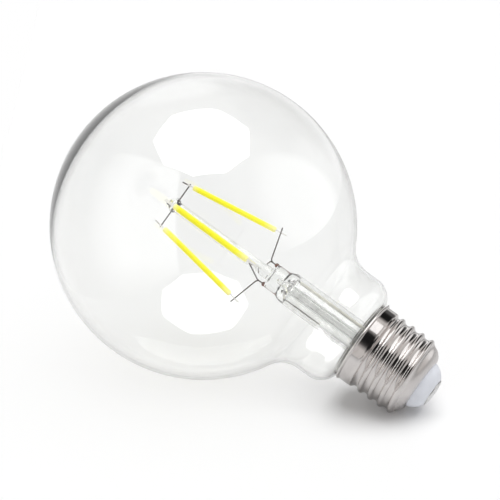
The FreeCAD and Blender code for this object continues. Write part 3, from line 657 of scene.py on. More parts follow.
class GLOBEBULB_OT_glass_bulb(bpy.types.Operator):
    """Blow the globe with its neck, shoulder and seat"""

    bl_idname = "globe_bulb.glass_bulb"
    bl_label = "Glass bulb"

    def execute(self, context):
        glass = context.scene.globe_bulb_glass
        wall = glass.wall
        crown = GLASS_HIGH.z
        globe_z = crown - glass.globe_radius
        hollow_r = glass.neck_radius + glass.neck_fillet
        hollow_z = globe_z - math.sqrt((glass.globe_radius + glass.neck_fillet) ** 2 - hollow_r ** 2)
        lean = math.atan2(globe_z - hollow_z, hollow_r)
        shoulder_r = glass.neck_radius - glass.shoulder
        shoulder_z = hollow_z - glass.neck_length
        seat_bore = glass.seat_radius - wall
        outer_turn = math.acos((glass.seat_radius - shoulder_r) / glass.shoulder)
        inner_turn = math.acos((seat_bore - shoulder_r) / (glass.shoulder - wall))

        lathe = Lathe(0, crown)
        lathe.arc(0, globe_z, -(math.pi / 2 + lean), GLOBE_STEPS)
        lathe.arc(hollow_r, hollow_z, lean, ROUND_STEPS)
        lathe.line(glass.neck_radius, shoulder_z, steps=2)
        lathe.arc(shoulder_r, shoulder_z, -outer_turn, ROUND_STEPS)
        lathe.line(glass.seat_radius, GLASS_LOW.z)
        lathe.line(seat_bore, GLASS_LOW.z)
        lathe.line(seat_bore, shoulder_z - (glass.shoulder - wall) * math.sin(inner_turn))
        lathe.arc(shoulder_r, shoulder_z, inner_turn, ROUND_STEPS)
        lathe.line(glass.neck_radius - wall, hollow_z, steps=2)
        lathe.arc(hollow_r, hollow_z, -lean, ROUND_STEPS)
        lathe.arc(0, globe_z, math.pi / 2 + lean, GLOBE_STEPS)
        mesh = lathe.turn(GLASS_TURN)

        middle = Vector((0, 0, globe_z))
        for vert in mesh.verts:
            ray = vert.co - middle
            if ray.z > 0 and ray.length < glass.globe_radius - wall / 2:
                share = min(vert.co.xy.length / glass.crown_spread, 1.0)
                thicker = (glass.crown_wall - wall) * (1 - share ** 2) ** 2
                vert.co = middle + ray * (1 - thicker / ray.length)

        blown = clear_glass(
            "blown_glass", glass.tint, roughness=0.0, scale=45.0, stretch=1.0, ripple=glass.ripple)
        add_piece("glass_bulb", mesh, blown, "clear_glass", "glass_envelope")
        return {"FINISHED"}


class GLOBEBULB_OT_glass_mount(bpy.types.Operator):
    """Draw the stem with its press, the exhaust tube and the post, all one piece of glass"""

    bl_idname = "globe_bulb.glass_mount"
    bl_label = "Glass mount"

    def execute(self, context):
        glass = context.scene.globe_bulb_glass
        press_top = STEM_HIGH.z
        press_foot = press_top - glass.press_length
        tube_top = press_foot - glass.press_taper
        seal = STEM_LOW.z + glass.stem_wall
        seat_bore = glass.seat_radius - glass.wall
        stem_bore = glass.stem_radius - glass.stem_wall
        exhaust_r = EXHAUST_HIGH.x
        crown = POST_HIGH.z
        bead_z = crown - BEAD_CROWN - BEAD_HALF
        swell = glass.bead_radius - glass.post_radius
        bead_round = (BEAD_HALF ** 2 + swell ** 2) / (2 * swell)
        bead_turn = 2 * math.asin(BEAD_HALF / bead_round)

        lathe = Lathe(0, crown)
        lathe.line(glass.post_radius * TIP_SHARE, crown - TIP_DROP * BEAD_CROWN)
        lathe.line(glass.post_radius, bead_z + BEAD_HALF)
        lathe.arc(glass.bead_radius - bead_round, bead_z, -bead_turn, steps=10)
        lathe.line(glass.post_radius, press_top + glass.foot_height, steps=6)
        lathe.line(glass.foot_radius, press_top + PRESS_EDGE, steps=6)
        lathe.line(glass.foot_radius + PRESS_EDGE, press_top, steps=2)
        lathe.line(glass.press_half_width - PRESS_EDGE, press_top, steps=3)
        lathe.arc(glass.press_half_width - PRESS_EDGE, press_top - PRESS_EDGE, -math.pi / 2, steps=6)
        lathe.line(glass.press_half_width, press_foot, steps=8)
        lathe.line(glass.stem_radius, tube_top, steps=8)
        lathe.line(glass.stem_radius, seal + glass.flare, steps=10)
        lathe.line(seat_bore, seal, steps=6)
        lathe.line(glass.seat_radius, seal)
        lathe.line(glass.seat_radius, STEM_LOW.z)
        lathe.line(seat_bore, STEM_LOW.z)
        lathe.line(stem_bore, seal + glass.flare, steps=6)
        lathe.line(stem_bore, tube_top - TUBE_CROWN, steps=10)
        lathe.line(CROWN_FLAT, tube_top, steps=4)
        lathe.line(exhaust_r, tube_top)
        lathe.line(exhaust_r, EXHAUST_LOW.z + exhaust_r, steps=10)
        lathe.arc(0, EXHAUST_LOW.z + exhaust_r, -math.pi / 2, steps=8)
        mesh = lathe.turn(MOUNT_TURN)

        flat = glass.press_half_depth / glass.press_half_width
        for vert in mesh.verts:
            lumps = math.sin(vert.co.z / LUMP) * math.sin(vert.co.x / LUMP + 1) * math.cos(vert.co.y / LUMP)
            radius = vert.co.xy.length
            if exhaust_r + MERGE < radius < stem_bore - MERGE and vert.co.z > tube_top - TUBE_CROWN:
                vert.co.z += CEILING_DEPTH * (lumps - 1)
            elif vert.co.z > tube_top:
                pressed = smooth_step(tube_top, press_foot + PRESS_BLEND, vert.co.z)
                outside = smooth_step(glass.foot_radius, glass.press_half_width, radius)
                vert.co.y *= 1 + (flat - 1) * pressed * outside
                up_rod = smooth_step(press_top - PRESS_EDGE, press_top + glass.foot_height, vert.co.z)
                soft = pressed * (1 - up_rod)
                vert.co.y *= 1 + LUMP_DEPTH * lumps * soft
                vert.co.x *= 1 - LUMP_DEPTH * lumps * soft / 2

        bore = self.exhaust_bore(tube_top, press_foot)
        mesh.from_mesh(bore)
        bpy.data.meshes.remove(bore)

        drawn = clear_glass(
            "drawn_glass", glass.mount_tint, roughness=0.02, scale=480.0, stretch=0.03,
            ripple=MOUNT_RIPPLE * glass.ripple)
        add_piece("glass_mount", mesh, drawn, "clear_glass", "stem_flare", "support_post", "exhaust_tube")
        return {"FINISHED"}

    def exhaust_bore(self, tube_top, press_foot):
        """Hollow of the exhaust tube up to its outlet, with its faces towards the hollow."""
        foot = EXHAUST_LOW.z + EXHAUST_HIGH.x
        bore = EXHAUST_HIGH.x - EXHAUST_WALL
        lathe = Lathe(0, foot)
        lathe.line(bore, foot + bore)
        lathe.line(bore, tube_top, steps=10)
        lathe.line(OUTLET, tube_top + bore, steps=3)
        lathe.line(OUTLET, press_foot + 2 * OUTLET, steps=3)
        lathe.line(0, press_foot + 3 * OUTLET)
        hollow = lathe.turn(MOUNT_TURN)
        bmesh.ops.reverse_faces(hollow, faces=hollow.faces)
        data = bpy.data.meshes.new("exhaust_bore")
        hollow.to_mesh(data)
        hollow.free()
        return data


def phosphor(filament):
    """Silicone coat full of yellow phosphor, thinner and paler at its ends, with a painted glow, and
    corners that are partly clear silicone and partly painted sheen.
    """
    # Emission Strength is a painted glow that brightens the coat
    constants = {"Roughness": 0.6, "Specular IOR Level": 0.08, "Emission Strength": filament.glow}
    material, tree, surface, where = finish("phosphor_coat", constants)
    tone = ramp(tree, attribute(tree, ALONG), (
        (0.0, filament.pale),
        (PALE_HEAD, filament.phosphor),
        (PALE_FOOT, filament.phosphor),
        (1.0, filament.pale),
    ))
    marks = marks_on(tree, where, scale=900.0)
    warm = mix_colour(tree, marks["Smudge"], tone, opaque(WARM_PHOSPHOR))
    mild = mix_colour(tree, WARM_SHARE, tone, warm)
    # Corners take the rim colour: partly clear silicone, partly painted sheen
    corner = remap(tree, attribute(tree, CORNER), CORNER_START, CORNER_FULL, to_high=CORNER_SHEEN)
    clear = mix_colour(tree, corner, mild, opaque(filament.rim))
    tree.links.new(clear, surface.inputs["Base Color"])
    tree.links.new(clear, surface.inputs["Emission Color"])
    bump(tree, surface, marks["Height"], strength=0.15, distance=RELIEF)
    return material


def plated_strip(name, middle, edge_shade):
    """Bright plated strip whose cut edges above the wires carry painted shade, the dark look of edges seen
    edge-on.
    """
    material, tree, surface, where = finish(name, {"Metallic": 1.0})
    axes = add(tree, "ShaderNodeSeparateXYZ", {0: where}).outputs
    reach = math_node(tree, "SUBTRACT", axes["Z"], middle)
    across = [math_node(tree, "ABSOLUTE", axes[axis]) for axis in ("X", "Y")]
    edge = math_node(tree, "GREATER_THAN", math_node(tree, "MINIMUM", *across), STRIP_EDGE)
    # Painted shade: cut edges above the start height take the dark edge tone
    shaded_edge = math_node(tree, "MULTIPLY", edge, remap(tree, reach, EDGE_SHADE_START, EDGE_SHADE_START + EDGE_SHADE_BLEND))
    marks = marks_on(tree, where, scale=700.0)
    bright = mix_colour(tree, marks["Smudge"], opaque(PLATE), opaque(PLATE_STAIN))
    edge_shaded_tone = mix_colour(tree, marks["Smudge"], opaque(edge_shade), opaque(shade(edge_shade, EDGE_SHADE_MOTTLE)))
    tree.links.new(mix_colour(tree, shaded_edge, bright, edge_shaded_tone), surface.inputs["Base Color"])
    rough = remap(tree, marks["Scratch"], 0.0, 1.0, to_low=0.2, to_high=0.34)
    tree.links.new(rough, surface.inputs["Roughness"])
    bump(tree, surface, marks["Height"], strength=0.05, distance=FINE_RELIEF)
    return material


class GLOBEBULB_OT_filaments(bpy.types.Operator):
    """Mould the luminous coats and finish the strips that carry them"""

    bl_idname = "globe_bulb.filaments"
    bl_label = "Filaments"

    def execute(self, context):
        filament = context.scene.globe_bulb_filament
        lean = math.asin((filament.foot_radius - filament.top_radius) / filament.coat_length)
        middle_r = (filament.top_radius + filament.foot_radius) / 2
        middle = Vector((middle_r, 0, (COAT_LOW.z + COAT_HIGH.z) / 2))
        size = Vector((filament.coat_thickness, filament.coat_width, filament.coat_length))
        coat = phosphor(filament)
        for side, degrees in SIDES:
            mesh = bmesh.new()
            bmesh.ops.create_cube(mesh, size=1.0)
            bmesh.ops.scale(mesh, vec=size, verts=mesh.verts)
            long_edges = [edge for edge in mesh.edges if rise(edge) > size.y]
            bmesh.ops.bevel(
                mesh, geom=long_edges, offset=SIDE_ROUND * size.x, segments=5, profile=0.5,
                affect="EDGES", material=-1)
            end_edges = [edge for edge in mesh.edges if rise(edge) < MERGE]
            bmesh.ops.bevel(
                mesh, geom=end_edges, offset=END_ROUND * size.x, segments=4, profile=0.5,
                affect="EDGES", material=-1)
            long_edges = [edge for edge in mesh.edges if edge.calc_length() > size.z / 2]
            bmesh.ops.subdivide_edges(mesh, edges=long_edges, cuts=COAT_CUTS, use_grid_fill=True)
            along = mesh.verts.layers.float.new(ALONG)
            corner = mesh.verts.layers.float.new(CORNER)
            for vert in mesh.verts:
                vert[along] = 0.5 - vert.co.z / size.z
                vert[corner] = 2 * min(abs(vert.co.x) / size.x, abs(vert.co.y) / size.y)
            place = Matrix.Rotation(math.radians(degrees), 4, "Z") @ Matrix.Translation(middle)
            bmesh.ops.transform(mesh, matrix=place @ Matrix.Rotation(-lean, 4, "Y"), verts=mesh.verts)
            add_piece(side + "_coat", mesh, coat, "phosphor", side + "_filament_coat")
        # Right and front strips get painted shade on their upper cut edges; left and back keep the plate's
        # stain tone there
        edge_shaded = plated_strip("edge_shaded_strip", middle.z, EDGE_SHADE)
        dress(edge_shaded, "right_filament_strip", "front_filament_strip")
        bright = plated_strip("bright_strip", middle.z, PLATE_STAIN)
        dress(bright, "left_filament_strip", "back_filament_strip")
        return {"FINISHED"}


def woven_sleeve(name, yarn, resin):
    """Woven glass-fibre sleeve, pale yarn in a binding resin."""
    material, tree, surface, where = finish(name, {"Roughness": 0.7})
    tilted = add(tree, "ShaderNodeMapping", {"Vector": where, "Rotation": WEAVE_TILT}).outputs[0]
    yarns = [bands(tree, tilted, WEAVE_SCALE, WEAVE_STRAY, direction) for direction in ("X", "Y")]
    weave = math_node(tree, "MULTIPLY", *yarns)
    marks = marks_on(tree, where, scale=400.0)
    binder = mix_colour(tree, marks["Smudge"], opaque(BINDER), opaque(resin))
    tone = mix_colour(tree, weave, opaque(yarn), binder)
    tree.links.new(tone, surface.inputs["Base Color"])
    bump(tree, surface, weave, strength=0.4, distance=FINE_RELIEF)
    return material


class GLOBEBULB_OT_wires(bpy.types.Operator):
    """Finish the support, lead, branch and seal wires and the sleeves"""

    bl_idname = "globe_bulb.wires"
    bl_label = "Wires"

    def execute(self, context):
        filament = context.scene.globe_bulb_filament
        oxide = tuple(tone * share for tone, share in zip(filament.wire, OXIDE_SHARES))
        drawn = metal(
            "drawn_nickel", tuple(filament.wire), roughness=0.35, scale=700.0, stretch=0.3, stain=oxide)
        dress(drawn, *(side + "_branch_wire" for side, _ in SIDES))
        dress(drawn, "side_support_wire", "front_support_wire")
        dress(drawn, "right_outer_lead", "left_outer_lead", "side_wire")
        copper = metal(
            "borated_copper", COPPER, roughness=0.4, scale=900.0, stretch=0.5, stain=COPPER_STAIN)
        for side in ("right", "left"):
            node = side + "_seal_wire"
            mesh = self.knotted_wire(*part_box(node), filament.weld)
            add_piece(side + "_seal", mesh, copper, "seal_copper", node)
        for node, name, yarn, resin in SLEEVES:
            dress(woven_sleeve(name, yarn, resin), node)
        return {"FINISHED"}

    def knotted_wire(self, low, high, knot):
        """Seal wire between the corners of its box, with a melted knot at each end."""
        wire_r = (high.x - low.x) / 2
        top = STEM_HIGH.z + knot
        lathe = Lathe(0, top)
        lathe.arc(0, top - knot, -KNOT_TURN, steps=12)
        lathe.line(wire_r, top - KNOT_REACH * knot, steps=2)
        lathe.line(wire_r, low.z + KNOT_REACH * knot, steps=8)
        lathe.line(knot * math.sin(KNOT_TURN), low.z + knot * (1 - math.cos(KNOT_TURN)), steps=2)
        lathe.arc(0, low.z + knot, -KNOT_TURN, steps=12)
        mesh = lathe.turn(steps=24)
        bmesh.ops.translate(mesh, vec=((low.x + high.x) / 2, (low.y + high.y) / 2, 0), verts=mesh.verts)
        return mesh


def nickel_plate(cap):
    """Rolled and plated sheet: mirror bright on skirt and thread, satin on the dome."""
    material, tree, surface, where = finish("nickel_plate", {"Metallic": 1.0})
    marks = marks_on(tree, where, scale=260.0, stretch=3.0)
    rough = math_node(tree, "MULTIPLY_ADD", attribute(tree, SATIN), SATIN_ROUGHNESS, BRIGHT_ROUGHNESS)
    worn = math_node(tree, "MULTIPLY_ADD", marks["Scratch"], PLATE_WEAR, rough)
    tree.links.new(worn, surface.inputs["Roughness"])
    tone = mix_colour(tree, marks["Smudge"], opaque(cap.metal), opaque(shade(cap.metal, PLATE_SHADE)))
    tree.links.new(tone, surface.inputs["Base Color"])
    rings = bands(tree, where, ROLLING_SCALE, ROLLING_STRAY, "Z")
    lines = math_node(tree, "MULTIPLY_ADD", rings, ROLLING_HEIGHT, marks["Height"])
    bump(tree, surface, lines, strength=0.025, distance=RELIEF)
    return material


def knuckle(away, pitch, depth):
    """Height of a rolled thread at a distance from its crest: an arc for the crest and one for the root."""
    half = pitch / 2
    crest_width = CREST_SHARE * half
    slope = math.sin(2 * math.atan(depth / half))
    crest_round = crest_width / slope
    root_round = (half - crest_width) / slope
    if away < crest_width:
        return depth - crest_round + math.sqrt(crest_round ** 2 - away ** 2)
    return root_round - math.sqrt(root_round ** 2 - (half - away) ** 2)


class GLOBEBULB_OT_screw_cap(bpy.types.Operator):
    """Roll the shell with its rim, skirt, knuckle thread and dome"""

    bl_idname = "globe_bulb.screw_cap"
    bl_label = "Screw cap"

    def execute(self, context):
        cap = context.scene.globe_bulb_cap
        rim_round = cap.rim_height / 2
        rim_r = cap.rim_radius - rim_round
        rim_z = CAP_HIGH.z - rim_round
        dome_z = CAP_LOW.z + cap.dome
        dome_r = cap.root_radius - cap.dome
        dome_turn = math.acos((cap.lip_radius - dome_r) / cap.dome)

        lathe = Lathe(rim_r - rim_round * math.sin(RIM_START), rim_z + rim_round * math.cos(RIM_START))
        lathe.arc(rim_r, rim_z, -RIM_SWEEP, steps=12)
        lathe.line(cap.skirt_radius, rim_z - RIM_FOOT * rim_round)
        lathe.line(cap.skirt_radius, cap.skirt_foot, steps=8)
        lathe.line(cap.root_radius, dome_z, THREAD_ROWS)
        lathe.arc(dome_r, dome_z, -dome_turn, DOME_ROWS)
        mesh = lathe.turn(CAP_TURN)
        self.roll_thread(mesh, cap)

        shell = add_piece("screw_cap", mesh, nickel_plate(cap), "cap_metal", "screw_shell")
        wall = shell.modifiers.new("Sheet", "SOLIDIFY")
        wall.thickness = cap.sheet
        wall.offset = -1.0
        return {"FINISHED"}

    def roll_thread(self, mesh, cap):
        """Raise the thread on the plain shell and note how satin each place is."""
        crest = cap.root_radius + cap.thread_depth
        satin = mesh.verts.layers.float.new(SATIN)
        for vert in mesh.verts:
            radius = vert.co.xy.length
            height = vert.co.z
            if height > cap.skirt_foot - MERGE:
                continue
            base = min(radius, cap.root_radius)
            band = smooth_step(cap.skirt_foot - THREAD_BLEND * cap.thread_depth, cap.skirt_foot, height)
            base += (cap.skirt_radius - base) * band
            turns = math.atan2(vert.co.y, vert.co.x) / math.tau
            phase = (height - cap.first_crest) / cap.pitch - turns
            whole = round(phase)
            run_out = smooth_step(RUN_OUT_END, RUN_OUT_START, turns + whole)
            rolled = knuckle(abs(phase - whole) * cap.pitch, cap.pitch, cap.thread_depth)
            vert.co.xy *= max(base, min(base + run_out * rolled, crest)) / radius
            last_crest = cap.first_crest + cap.pitch * (turns if turns < 0 else turns - 1)
            below = (height - last_crest) / cap.pitch
            vert[satin] = 1 - smooth_step(SATIN_FULL, SATIN_START, below)


class GLOBEBULB_OT_insulator(bpy.types.Operator):
    """Mould the insulator and set the riveted contact below it"""

    bl_idname = "globe_bulb.insulator"
    bl_label = "Insulator and contact"

    def execute(self, context):
        cap = context.scene.globe_bulb_cap
        foot = INSULATOR_LOW.z
        collar_z = CAP_LOW.z + COLLAR_RISE
        collar_r = INSULATOR_HIGH.x
        start = Vector((cap.tip_radius, foot))
        end = Vector((cap.lip_radius, CAP_LOW.z))
        chord = end - start
        reach = math.sqrt(cap.insulator_round ** 2 - chord.length_squared / 4)
        centre = (start + end) / 2 + Vector((-chord.y, chord.x)).normalized() * reach
        sweep = 2 * math.asin(chord.length / 2 / cap.insulator_round)

        lathe = Lathe(RIVET_RADIUS, foot)
        lathe.line(cap.tip_radius - TIP_EDGE, foot, steps=3)
        lathe.line(cap.tip_radius, foot, steps=2)
        lathe.arc(centre.x, centre.y, sweep, steps=20)
        lathe.line(cap.lip_radius, collar_z)
        lathe.line(collar_r, collar_z)
        lathe.line(collar_r, INSULATOR_HIGH.z, steps=2)
        lathe.line(collar_r - COLLAR_WIDTH, INSULATOR_HIGH.z)
        lathe.line(collar_r - COLLAR_WIDTH, collar_z)
        lathe.line(RIVET_RADIUS, collar_z)
        lathe.line(RIVET_RADIUS, foot)
        plastic = moulded("moulded_insulator", tuple(cap.plastic), roughness=0.32, scale=220.0)
        add_piece("insulator_cone", lathe.turn(steps=96), plastic, "insulator", "insulator")

        edge_r = CONTACT_HIGH.x
        drop = foot - CONTACT_EDGE - CONTACT_LOW.z
        dome = (edge_r ** 2 + drop ** 2) / (2 * drop)
        lathe = Lathe(0, CONTACT_LOW.z)
        lathe.arc(0, CONTACT_LOW.z + dome, math.asin(edge_r / dome), steps=10)
        lathe.line(edge_r, foot)
        lathe.line(RIVET_RADIUS, foot, steps=2)
        lathe.line(RIVET_RADIUS, CONTACT_HIGH.z)
        lathe.line(0, CONTACT_HIGH.z)
        tinned = metal("tinned_contact", TINNED, roughness=0.45, scale=500.0)
        add_piece("contact_disc", lathe.turn(steps=64), tinned, "contact_metal", "centre_contact")
        return {"FINISHED"}


class GLOBEBULB_OT_solder(bpy.types.Operator):
    """Melt the solder on the rim and finish the cement behind it"""

    bl_idname = "globe_bulb.solder"
    bl_label = "Solder and cement"

    def execute(self, context):
        mesh = bmesh.new()
        bmesh.ops.create_uvsphere(mesh, u_segments=24, v_segments=14, radius=0.5)
        for vert in mesh.verts:
            vert.co.x *= 1 + BULGE * math.sin(BULGE_WAVES[0] * vert.co.y + BULGE_WAVES[1] * vert.co.z)
            vert.co.z *= 1 + SAG * math.sin(SAG_WAVES * vert.co.y)
        widest = max(vert.co.x for vert in mesh.verts)
        tallest = max(vert.co.z for vert in mesh.verts)
        size = SOLDER_HIGH - SOLDER_LOW
        bmesh.ops.scale(mesh, vec=(size.x / widest / 2, size.y, size.z / tallest / 2), verts=mesh.verts)
        bmesh.ops.translate(mesh, vec=(SOLDER_LOW + SOLDER_HIGH) / 2, verts=mesh.verts)
        tin = metal("soft_solder", SOLDER, roughness=0.25, scale=900.0, depth=0.1)
        add_piece("rim_bead", mesh, tin, "solder", "rim_solder")
        cement = moulded(
            "basing_cement", CEMENT, roughness=0.9, scale=900.0, stain=CEMENT_STAIN, depth=0.5)
        dress(cement, "cement_ring")
        return {"FINISHED"}


class GLOBEBULB_OT_driver(bpy.types.Operator):
    """Finish the driver board and its components"""

    bl_idname = "globe_bulb.driver"
    bl_label = "Driver"

    def execute(self, context):
        resist = moulded(
            "solder_resist", tone=(0.03, 0.16, 0.06), roughness=0.4, scale=500.0,
            stain=(0.05, 0.22, 0.08), depth=0.2)
        dress(resist, "driver_board")
        resin = moulded("moulded_resin", tone=(0.02, 0.02, 0.022), roughness=0.55, scale=1500.0, depth=0.3)
        dress(resin, "bridge_rectifier", "driver_chip")
        film = moulded(
            "thick_film", tone=(0.03, 0.03, 0.035), roughness=0.4, scale=1200.0,
            stain=(0.06, 0.06, 0.07), depth=0.1)
        dress(film, "sense_resistor")
        sleeve = moulded("shrunk_sleeve", tone=(0.02, 0.025, 0.04), roughness=0.25, scale=300.0)
        dress(sleeve, "smoothing_capacitor")
        lacquer = moulded(
            "lacquered_ceramic", tone=(0.16, 0.3, 0.36), roughness=0.35, scale=700.0, depth=0.15)
        dress(lacquer, "fusible_resistor")
        insulation = moulded("wire_insulation", tone=(0.5, 0.04, 0.03), roughness=0.4, scale=600.0)
        dress(insulation, "live_wire")
        return {"FINISHED"}


def view_axes(stage):
    """Right, up and back of the camera in the lamp's frame."""
    back = Vector((
        math.sin(stage.azimuth) * math.cos(stage.elevation),
        -math.cos(stage.azimuth) * math.cos(stage.elevation),
        math.sin(stage.elevation),
    ))
    level_right = Vector((math.cos(stage.azimuth), math.sin(stage.azimuth), 0))
    level_up = back.cross(level_right)
    right = level_right * math.cos(stage.roll) - level_up * math.sin(stage.roll)
    return right, back.cross(right), back


def from_axes(right, up, back, place):
    """Matrix that carries X, Y and Z to three directions at a place."""
    turned = Matrix((right, up, back)).transposed().to_4x4()
    return Matrix.Translation(place) @ turned


def rectangle(width, depth, place):
    """Flat sheet of a size, carried to its place by a matrix."""
    mesh = bmesh.new()
    bmesh.ops.create_grid(mesh, x_segments=1, y_segments=1, size=0.5)
    bmesh.ops.scale(mesh, vec=(width, depth, 1), verts=mesh.verts)
    bmesh.ops.transform(mesh, matrix=place, verts=mesh.verts)
    return mesh


def white_floor(stage, middle):
    """White floor that keeps the lamp's shadow, fades away in reflections and is clear from below."""
    material, tree = bare_finish("white_floor")
    path = add(tree, "ShaderNodeLightPath").outputs
    where = add(tree, "ShaderNodeTexCoord").outputs["Object"]
    away = vector_node(tree, "DISTANCE", where, middle, "Value")
    fading = remap(tree, away, FLOOR_NEAR, FLOOR_FAR, stage.floor_gloss, FLOOR_FAR_GLOSS)
    mirrored = math_node(tree, "SUBTRACT", path["Is Glossy Ray"], path["Is Transmission Ray"])
    clear_part = math_node(tree, "MULTIPLY", path["Is Singular Ray"], CLEAR_SHARE)
    blurred = math_node(tree, "SUBTRACT", mirrored, clear_part)
    white = add(tree, "ShaderNodeMix", {0: blurred, 2: stage.floor_white, 3: fading}).outputs[0]
    paper = add(tree, "ShaderNodeBsdfDiffuse", {"Color": white})
    direct = math_node(tree, "MAXIMUM", path["Is Camera Ray"], path["Is Transmission Ray"])
    lifted = math_node(tree, "MULTIPLY", direct, stage.floor_lift)
    lift = add(tree, "ShaderNodeEmission", {"Strength": lifted})
    sheet = add(tree, "ShaderNodeAddShader", {0: paper.outputs[0], 1: lift.outputs[0]})
    clear = add(tree, "ShaderNodeBsdfTransparent")
    below = add(tree, "ShaderNodeNewGeometry").outputs["Backfacing"]
    show(tree, add(tree, "ShaderNodeMixShader", {0: below, 1: sheet.outputs[0], 2: clear.outputs[0]}))
    return material


def flag_cloth():
    """Even grey glow of the flag."""
    material, tree = bare_finish("flag_cloth")
    show(tree, add(tree, "ShaderNodeEmission", {"Strength": FLAG_LEVEL}))
    return material


def softbox_cloth(stage):
    """Glow of the softbox, bright in clear glass and milder on brushed metal."""
    material, tree = bare_finish("softbox_cloth")
    clear = add(tree, "ShaderNodeLightPath").outputs["Is Singular Ray"]
    strength = remap(tree, clear, 0.0, 1.0, stage.softbox_sheen, stage.softbox_level)
    show(tree, add(tree, "ShaderNodeEmission", {"Strength": strength}))
    return material


class GLOBEBULB_OT_stage(bpy.types.Operator):
    """Set up floor, softbox, flag, key light, world and camera"""

    bl_idname = "globe_bulb.stage"
    bl_label = "Studio"

    def execute(self, context):
        scene = context.scene
        stage = scene.globe_bulb_stage
        globe_r = scene.globe_bulb_glass.globe_radius
        globe = Vector((0, 0, GLASS_HIGH.z - globe_r))
        right, up, back = view_axes(stage)
        normal = up * math.cos(stage.floor_elevation) + back * math.sin(stage.floor_elevation)
        ahead = right.cross(normal)

        floor_point = globe - normal * globe_r
        middle = right * (FLOOR_RIGHT - FLOOR_LEFT) / 2 + ahead * (FLOOR_FRONT - FLOOR_BEHIND) / 2
        below = from_axes(right, -ahead, normal, floor_point + middle)
        mesh = rectangle(FLOOR_LEFT + FLOOR_RIGHT, FLOOR_BEHIND + FLOOR_FRONT, below)
        add_stage_piece("floor", mesh, white_floor(stage, floor_point))

        above = from_axes(right, -ahead, normal, globe + back * SOFTBOX_BACK + up * SOFTBOX_UP)
        mesh = bmesh.new()
        bmesh.ops.create_circle(mesh, cap_ends=True, segments=SOFTBOX_SIDES, radius=SOFTBOX_RADIUS)
        bmesh.ops.rotate(mesh, matrix=Matrix.Rotation(SOFTBOX_TURN, 3, "Z"), verts=mesh.verts)
        bmesh.ops.transform(mesh, matrix=above, verts=mesh.verts)
        softbox = add_stage_piece("softbox", mesh, softbox_cloth(stage))
        hide_from(softbox, "camera", "diffuse", "shadow")

        axis = Vector((0, 0, 1))
        crownward = (axis - back * axis.dot(back)).normalized()
        flag_at = globe + crownward * (FLAG_START + FLAG_WIDTH / 2) - back * FLAG_BEHIND
        beyond = from_axes(crownward, back.cross(crownward), back, flag_at)
        flag = add_stage_piece("flag", rectangle(FLAG_WIDTH, FLAG_DEPTH, beyond), flag_cloth())
        hide_from(flag, "camera", "diffuse", "glossy", "shadow")

        light = bpy.data.lights.new("key", "SUN")
        light.energy = math.pi * stage.key_level
        light.angle = KEY_ANGLE
        key = bpy.data.objects.new("key", light)
        key.matrix_world = above @ Matrix.Rotation(KEY_TILT, 4, "Y")
        hide_from(key, "glossy", "transmission")
        scene.collection.objects.link(key)

        self.set_world(scene, stage)
        self.set_camera(scene, stage, globe)
        scene.view_settings.view_transform = "Standard"
        return {"FINISHED"}

    def set_world(self, scene, stage):
        """White behind the lamp, a room of dark and pale places in reflections, even light on the rest."""
        world = bpy.data.worlds.new("studio")
        world.use_nodes = True
        tree = world.node_tree
        tree.nodes.clear()
        path = add(tree, "ShaderNodeLightPath").outputs
        toward = add(tree, "ShaderNodeTexCoord").outputs["Generated"]
        right, up, back = view_axes(stage)
        room = opaque(stage.room)
        for (aside, above, behind), inner, outer, tone in ROOM_PLACES:
            place = (right * aside + up * above + back * behind).normalized()
            near = vector_node(tree, "DOT_PRODUCT", toward, place, "Value")
            share = remap(tree, near, math.cos(math.radians(outer)), math.cos(math.radians(inner)))
            room = mix_colour(tree, share, room, grey(tone))
        for tone, edges in SIDE_LIGHTS:
            share = path["Is Singular Ray"]
            for (aside, above, behind), start, full in edges:
                place = right * aside + up * above + back * behind
                near = vector_node(tree, "DOT_PRODUCT", toward, place, "Value")
                share = math_node(tree, "MULTIPLY", share, remap(tree, near, start, full))
            room = mix_colour(tree, share, room, grey(tone))
        lit = mix_colour(tree, path["Is Glossy Ray"], grey(stage.world_level), room)
        direct = math_node(tree, "MAXIMUM", path["Is Camera Ray"], path["Is Transmission Ray"])
        sky = add(tree, "ShaderNodeBackground", {"Color": mix_colour(tree, direct, lit, grey(BACKDROP))})
        leave = add(tree, "ShaderNodeOutputWorld")
        tree.links.new(sky.outputs[0], leave.inputs["Surface"])
        scene.world = world

    def set_camera(self, scene, stage, globe):
        """Camera at the photograph's place."""
        right, up, back = view_axes(stage)
        camera = bpy.data.cameras.new("camera")
        camera.angle = stage.angle
        camera.clip_end = CAMERA_REACH
        aim = globe + right * stage.aim_right + up * stage.aim_up
        holder = bpy.data.objects.new("camera", camera)
        holder.matrix_world = from_axes(right, up, back, aim + back * stage.distance)
        scene.collection.objects.link(holder)
        scene.camera = holder


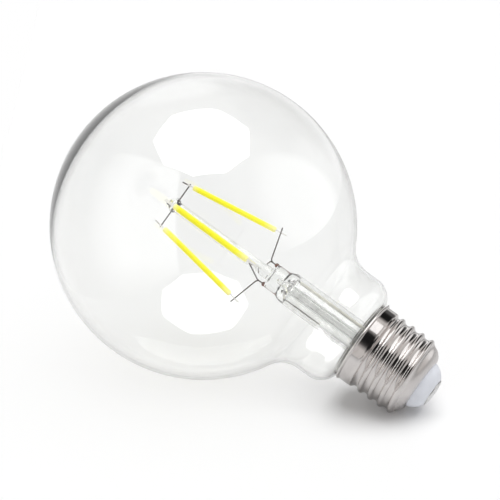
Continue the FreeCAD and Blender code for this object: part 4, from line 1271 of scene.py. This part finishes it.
SETTINGS = {
    "globe_bulb_glass": GlobeBulbGlass,
    "globe_bulb_cap": GlobeBulbCap,
    "globe_bulb_filament": GlobeBulbFilament,
    "globe_bulb_stage": GlobeBulbStage,
}
OPERATORS = (
    GLOBEBULB_OT_glass_bulb,
    GLOBEBULB_OT_glass_mount,
    GLOBEBULB_OT_filaments,
    GLOBEBULB_OT_wires,
    GLOBEBULB_OT_screw_cap,
    GLOBEBULB_OT_insulator,
    GLOBEBULB_OT_solder,
    GLOBEBULB_OT_driver,
    GLOBEBULB_OT_stage,
)


class GLOBEBULB_PT_panel(bpy.types.Panel):
    """Lists the pieces of the lamp and their sizes"""

    bl_idname = "GLOBEBULB_PT_panel"
    bl_label = "Globe bulb"
    bl_space_type = "VIEW_3D"
    bl_region_type = "UI"
    bl_category = "Globe bulb"

    def draw(self, context):
        for operator in OPERATORS:
            self.layout.operator(operator.bl_idname)
        for name, group in SETTINGS.items():
            box = self.layout.box()
            for key in group.__annotations__:
                box.prop(getattr(context.scene, name), key)


def register():
    """Make the settings, operators and panel known."""
    for name, group in SETTINGS.items():
        bpy.utils.register_class(group)
        setattr(bpy.types.Scene, name, bpy.props.PointerProperty(type=group))
    for operator in OPERATORS:
        bpy.utils.register_class(operator)
    bpy.utils.register_class(GLOBEBULB_PT_panel)


def unregister():
    """Take them away again."""
    bpy.utils.unregister_class(GLOBEBULB_PT_panel)
    for operator in reversed(OPERATORS):
        bpy.utils.unregister_class(operator)
    for name, group in reversed(SETTINGS.items()):
        delattr(bpy.types.Scene, name)
        bpy.utils.unregister_class(group)


def main():
    """Build the lamp and its studio."""
    register()
    bpy.ops.globe_bulb.glass_bulb()
    bpy.ops.globe_bulb.glass_mount()
    bpy.ops.globe_bulb.filaments()
    bpy.ops.globe_bulb.wires()
    bpy.ops.globe_bulb.screw_cap()
    bpy.ops.globe_bulb.insulator()
    bpy.ops.globe_bulb.solder()
    bpy.ops.globe_bulb.driver()
    bpy.ops.globe_bulb.stage()


if __name__ == "__main__":
    main()
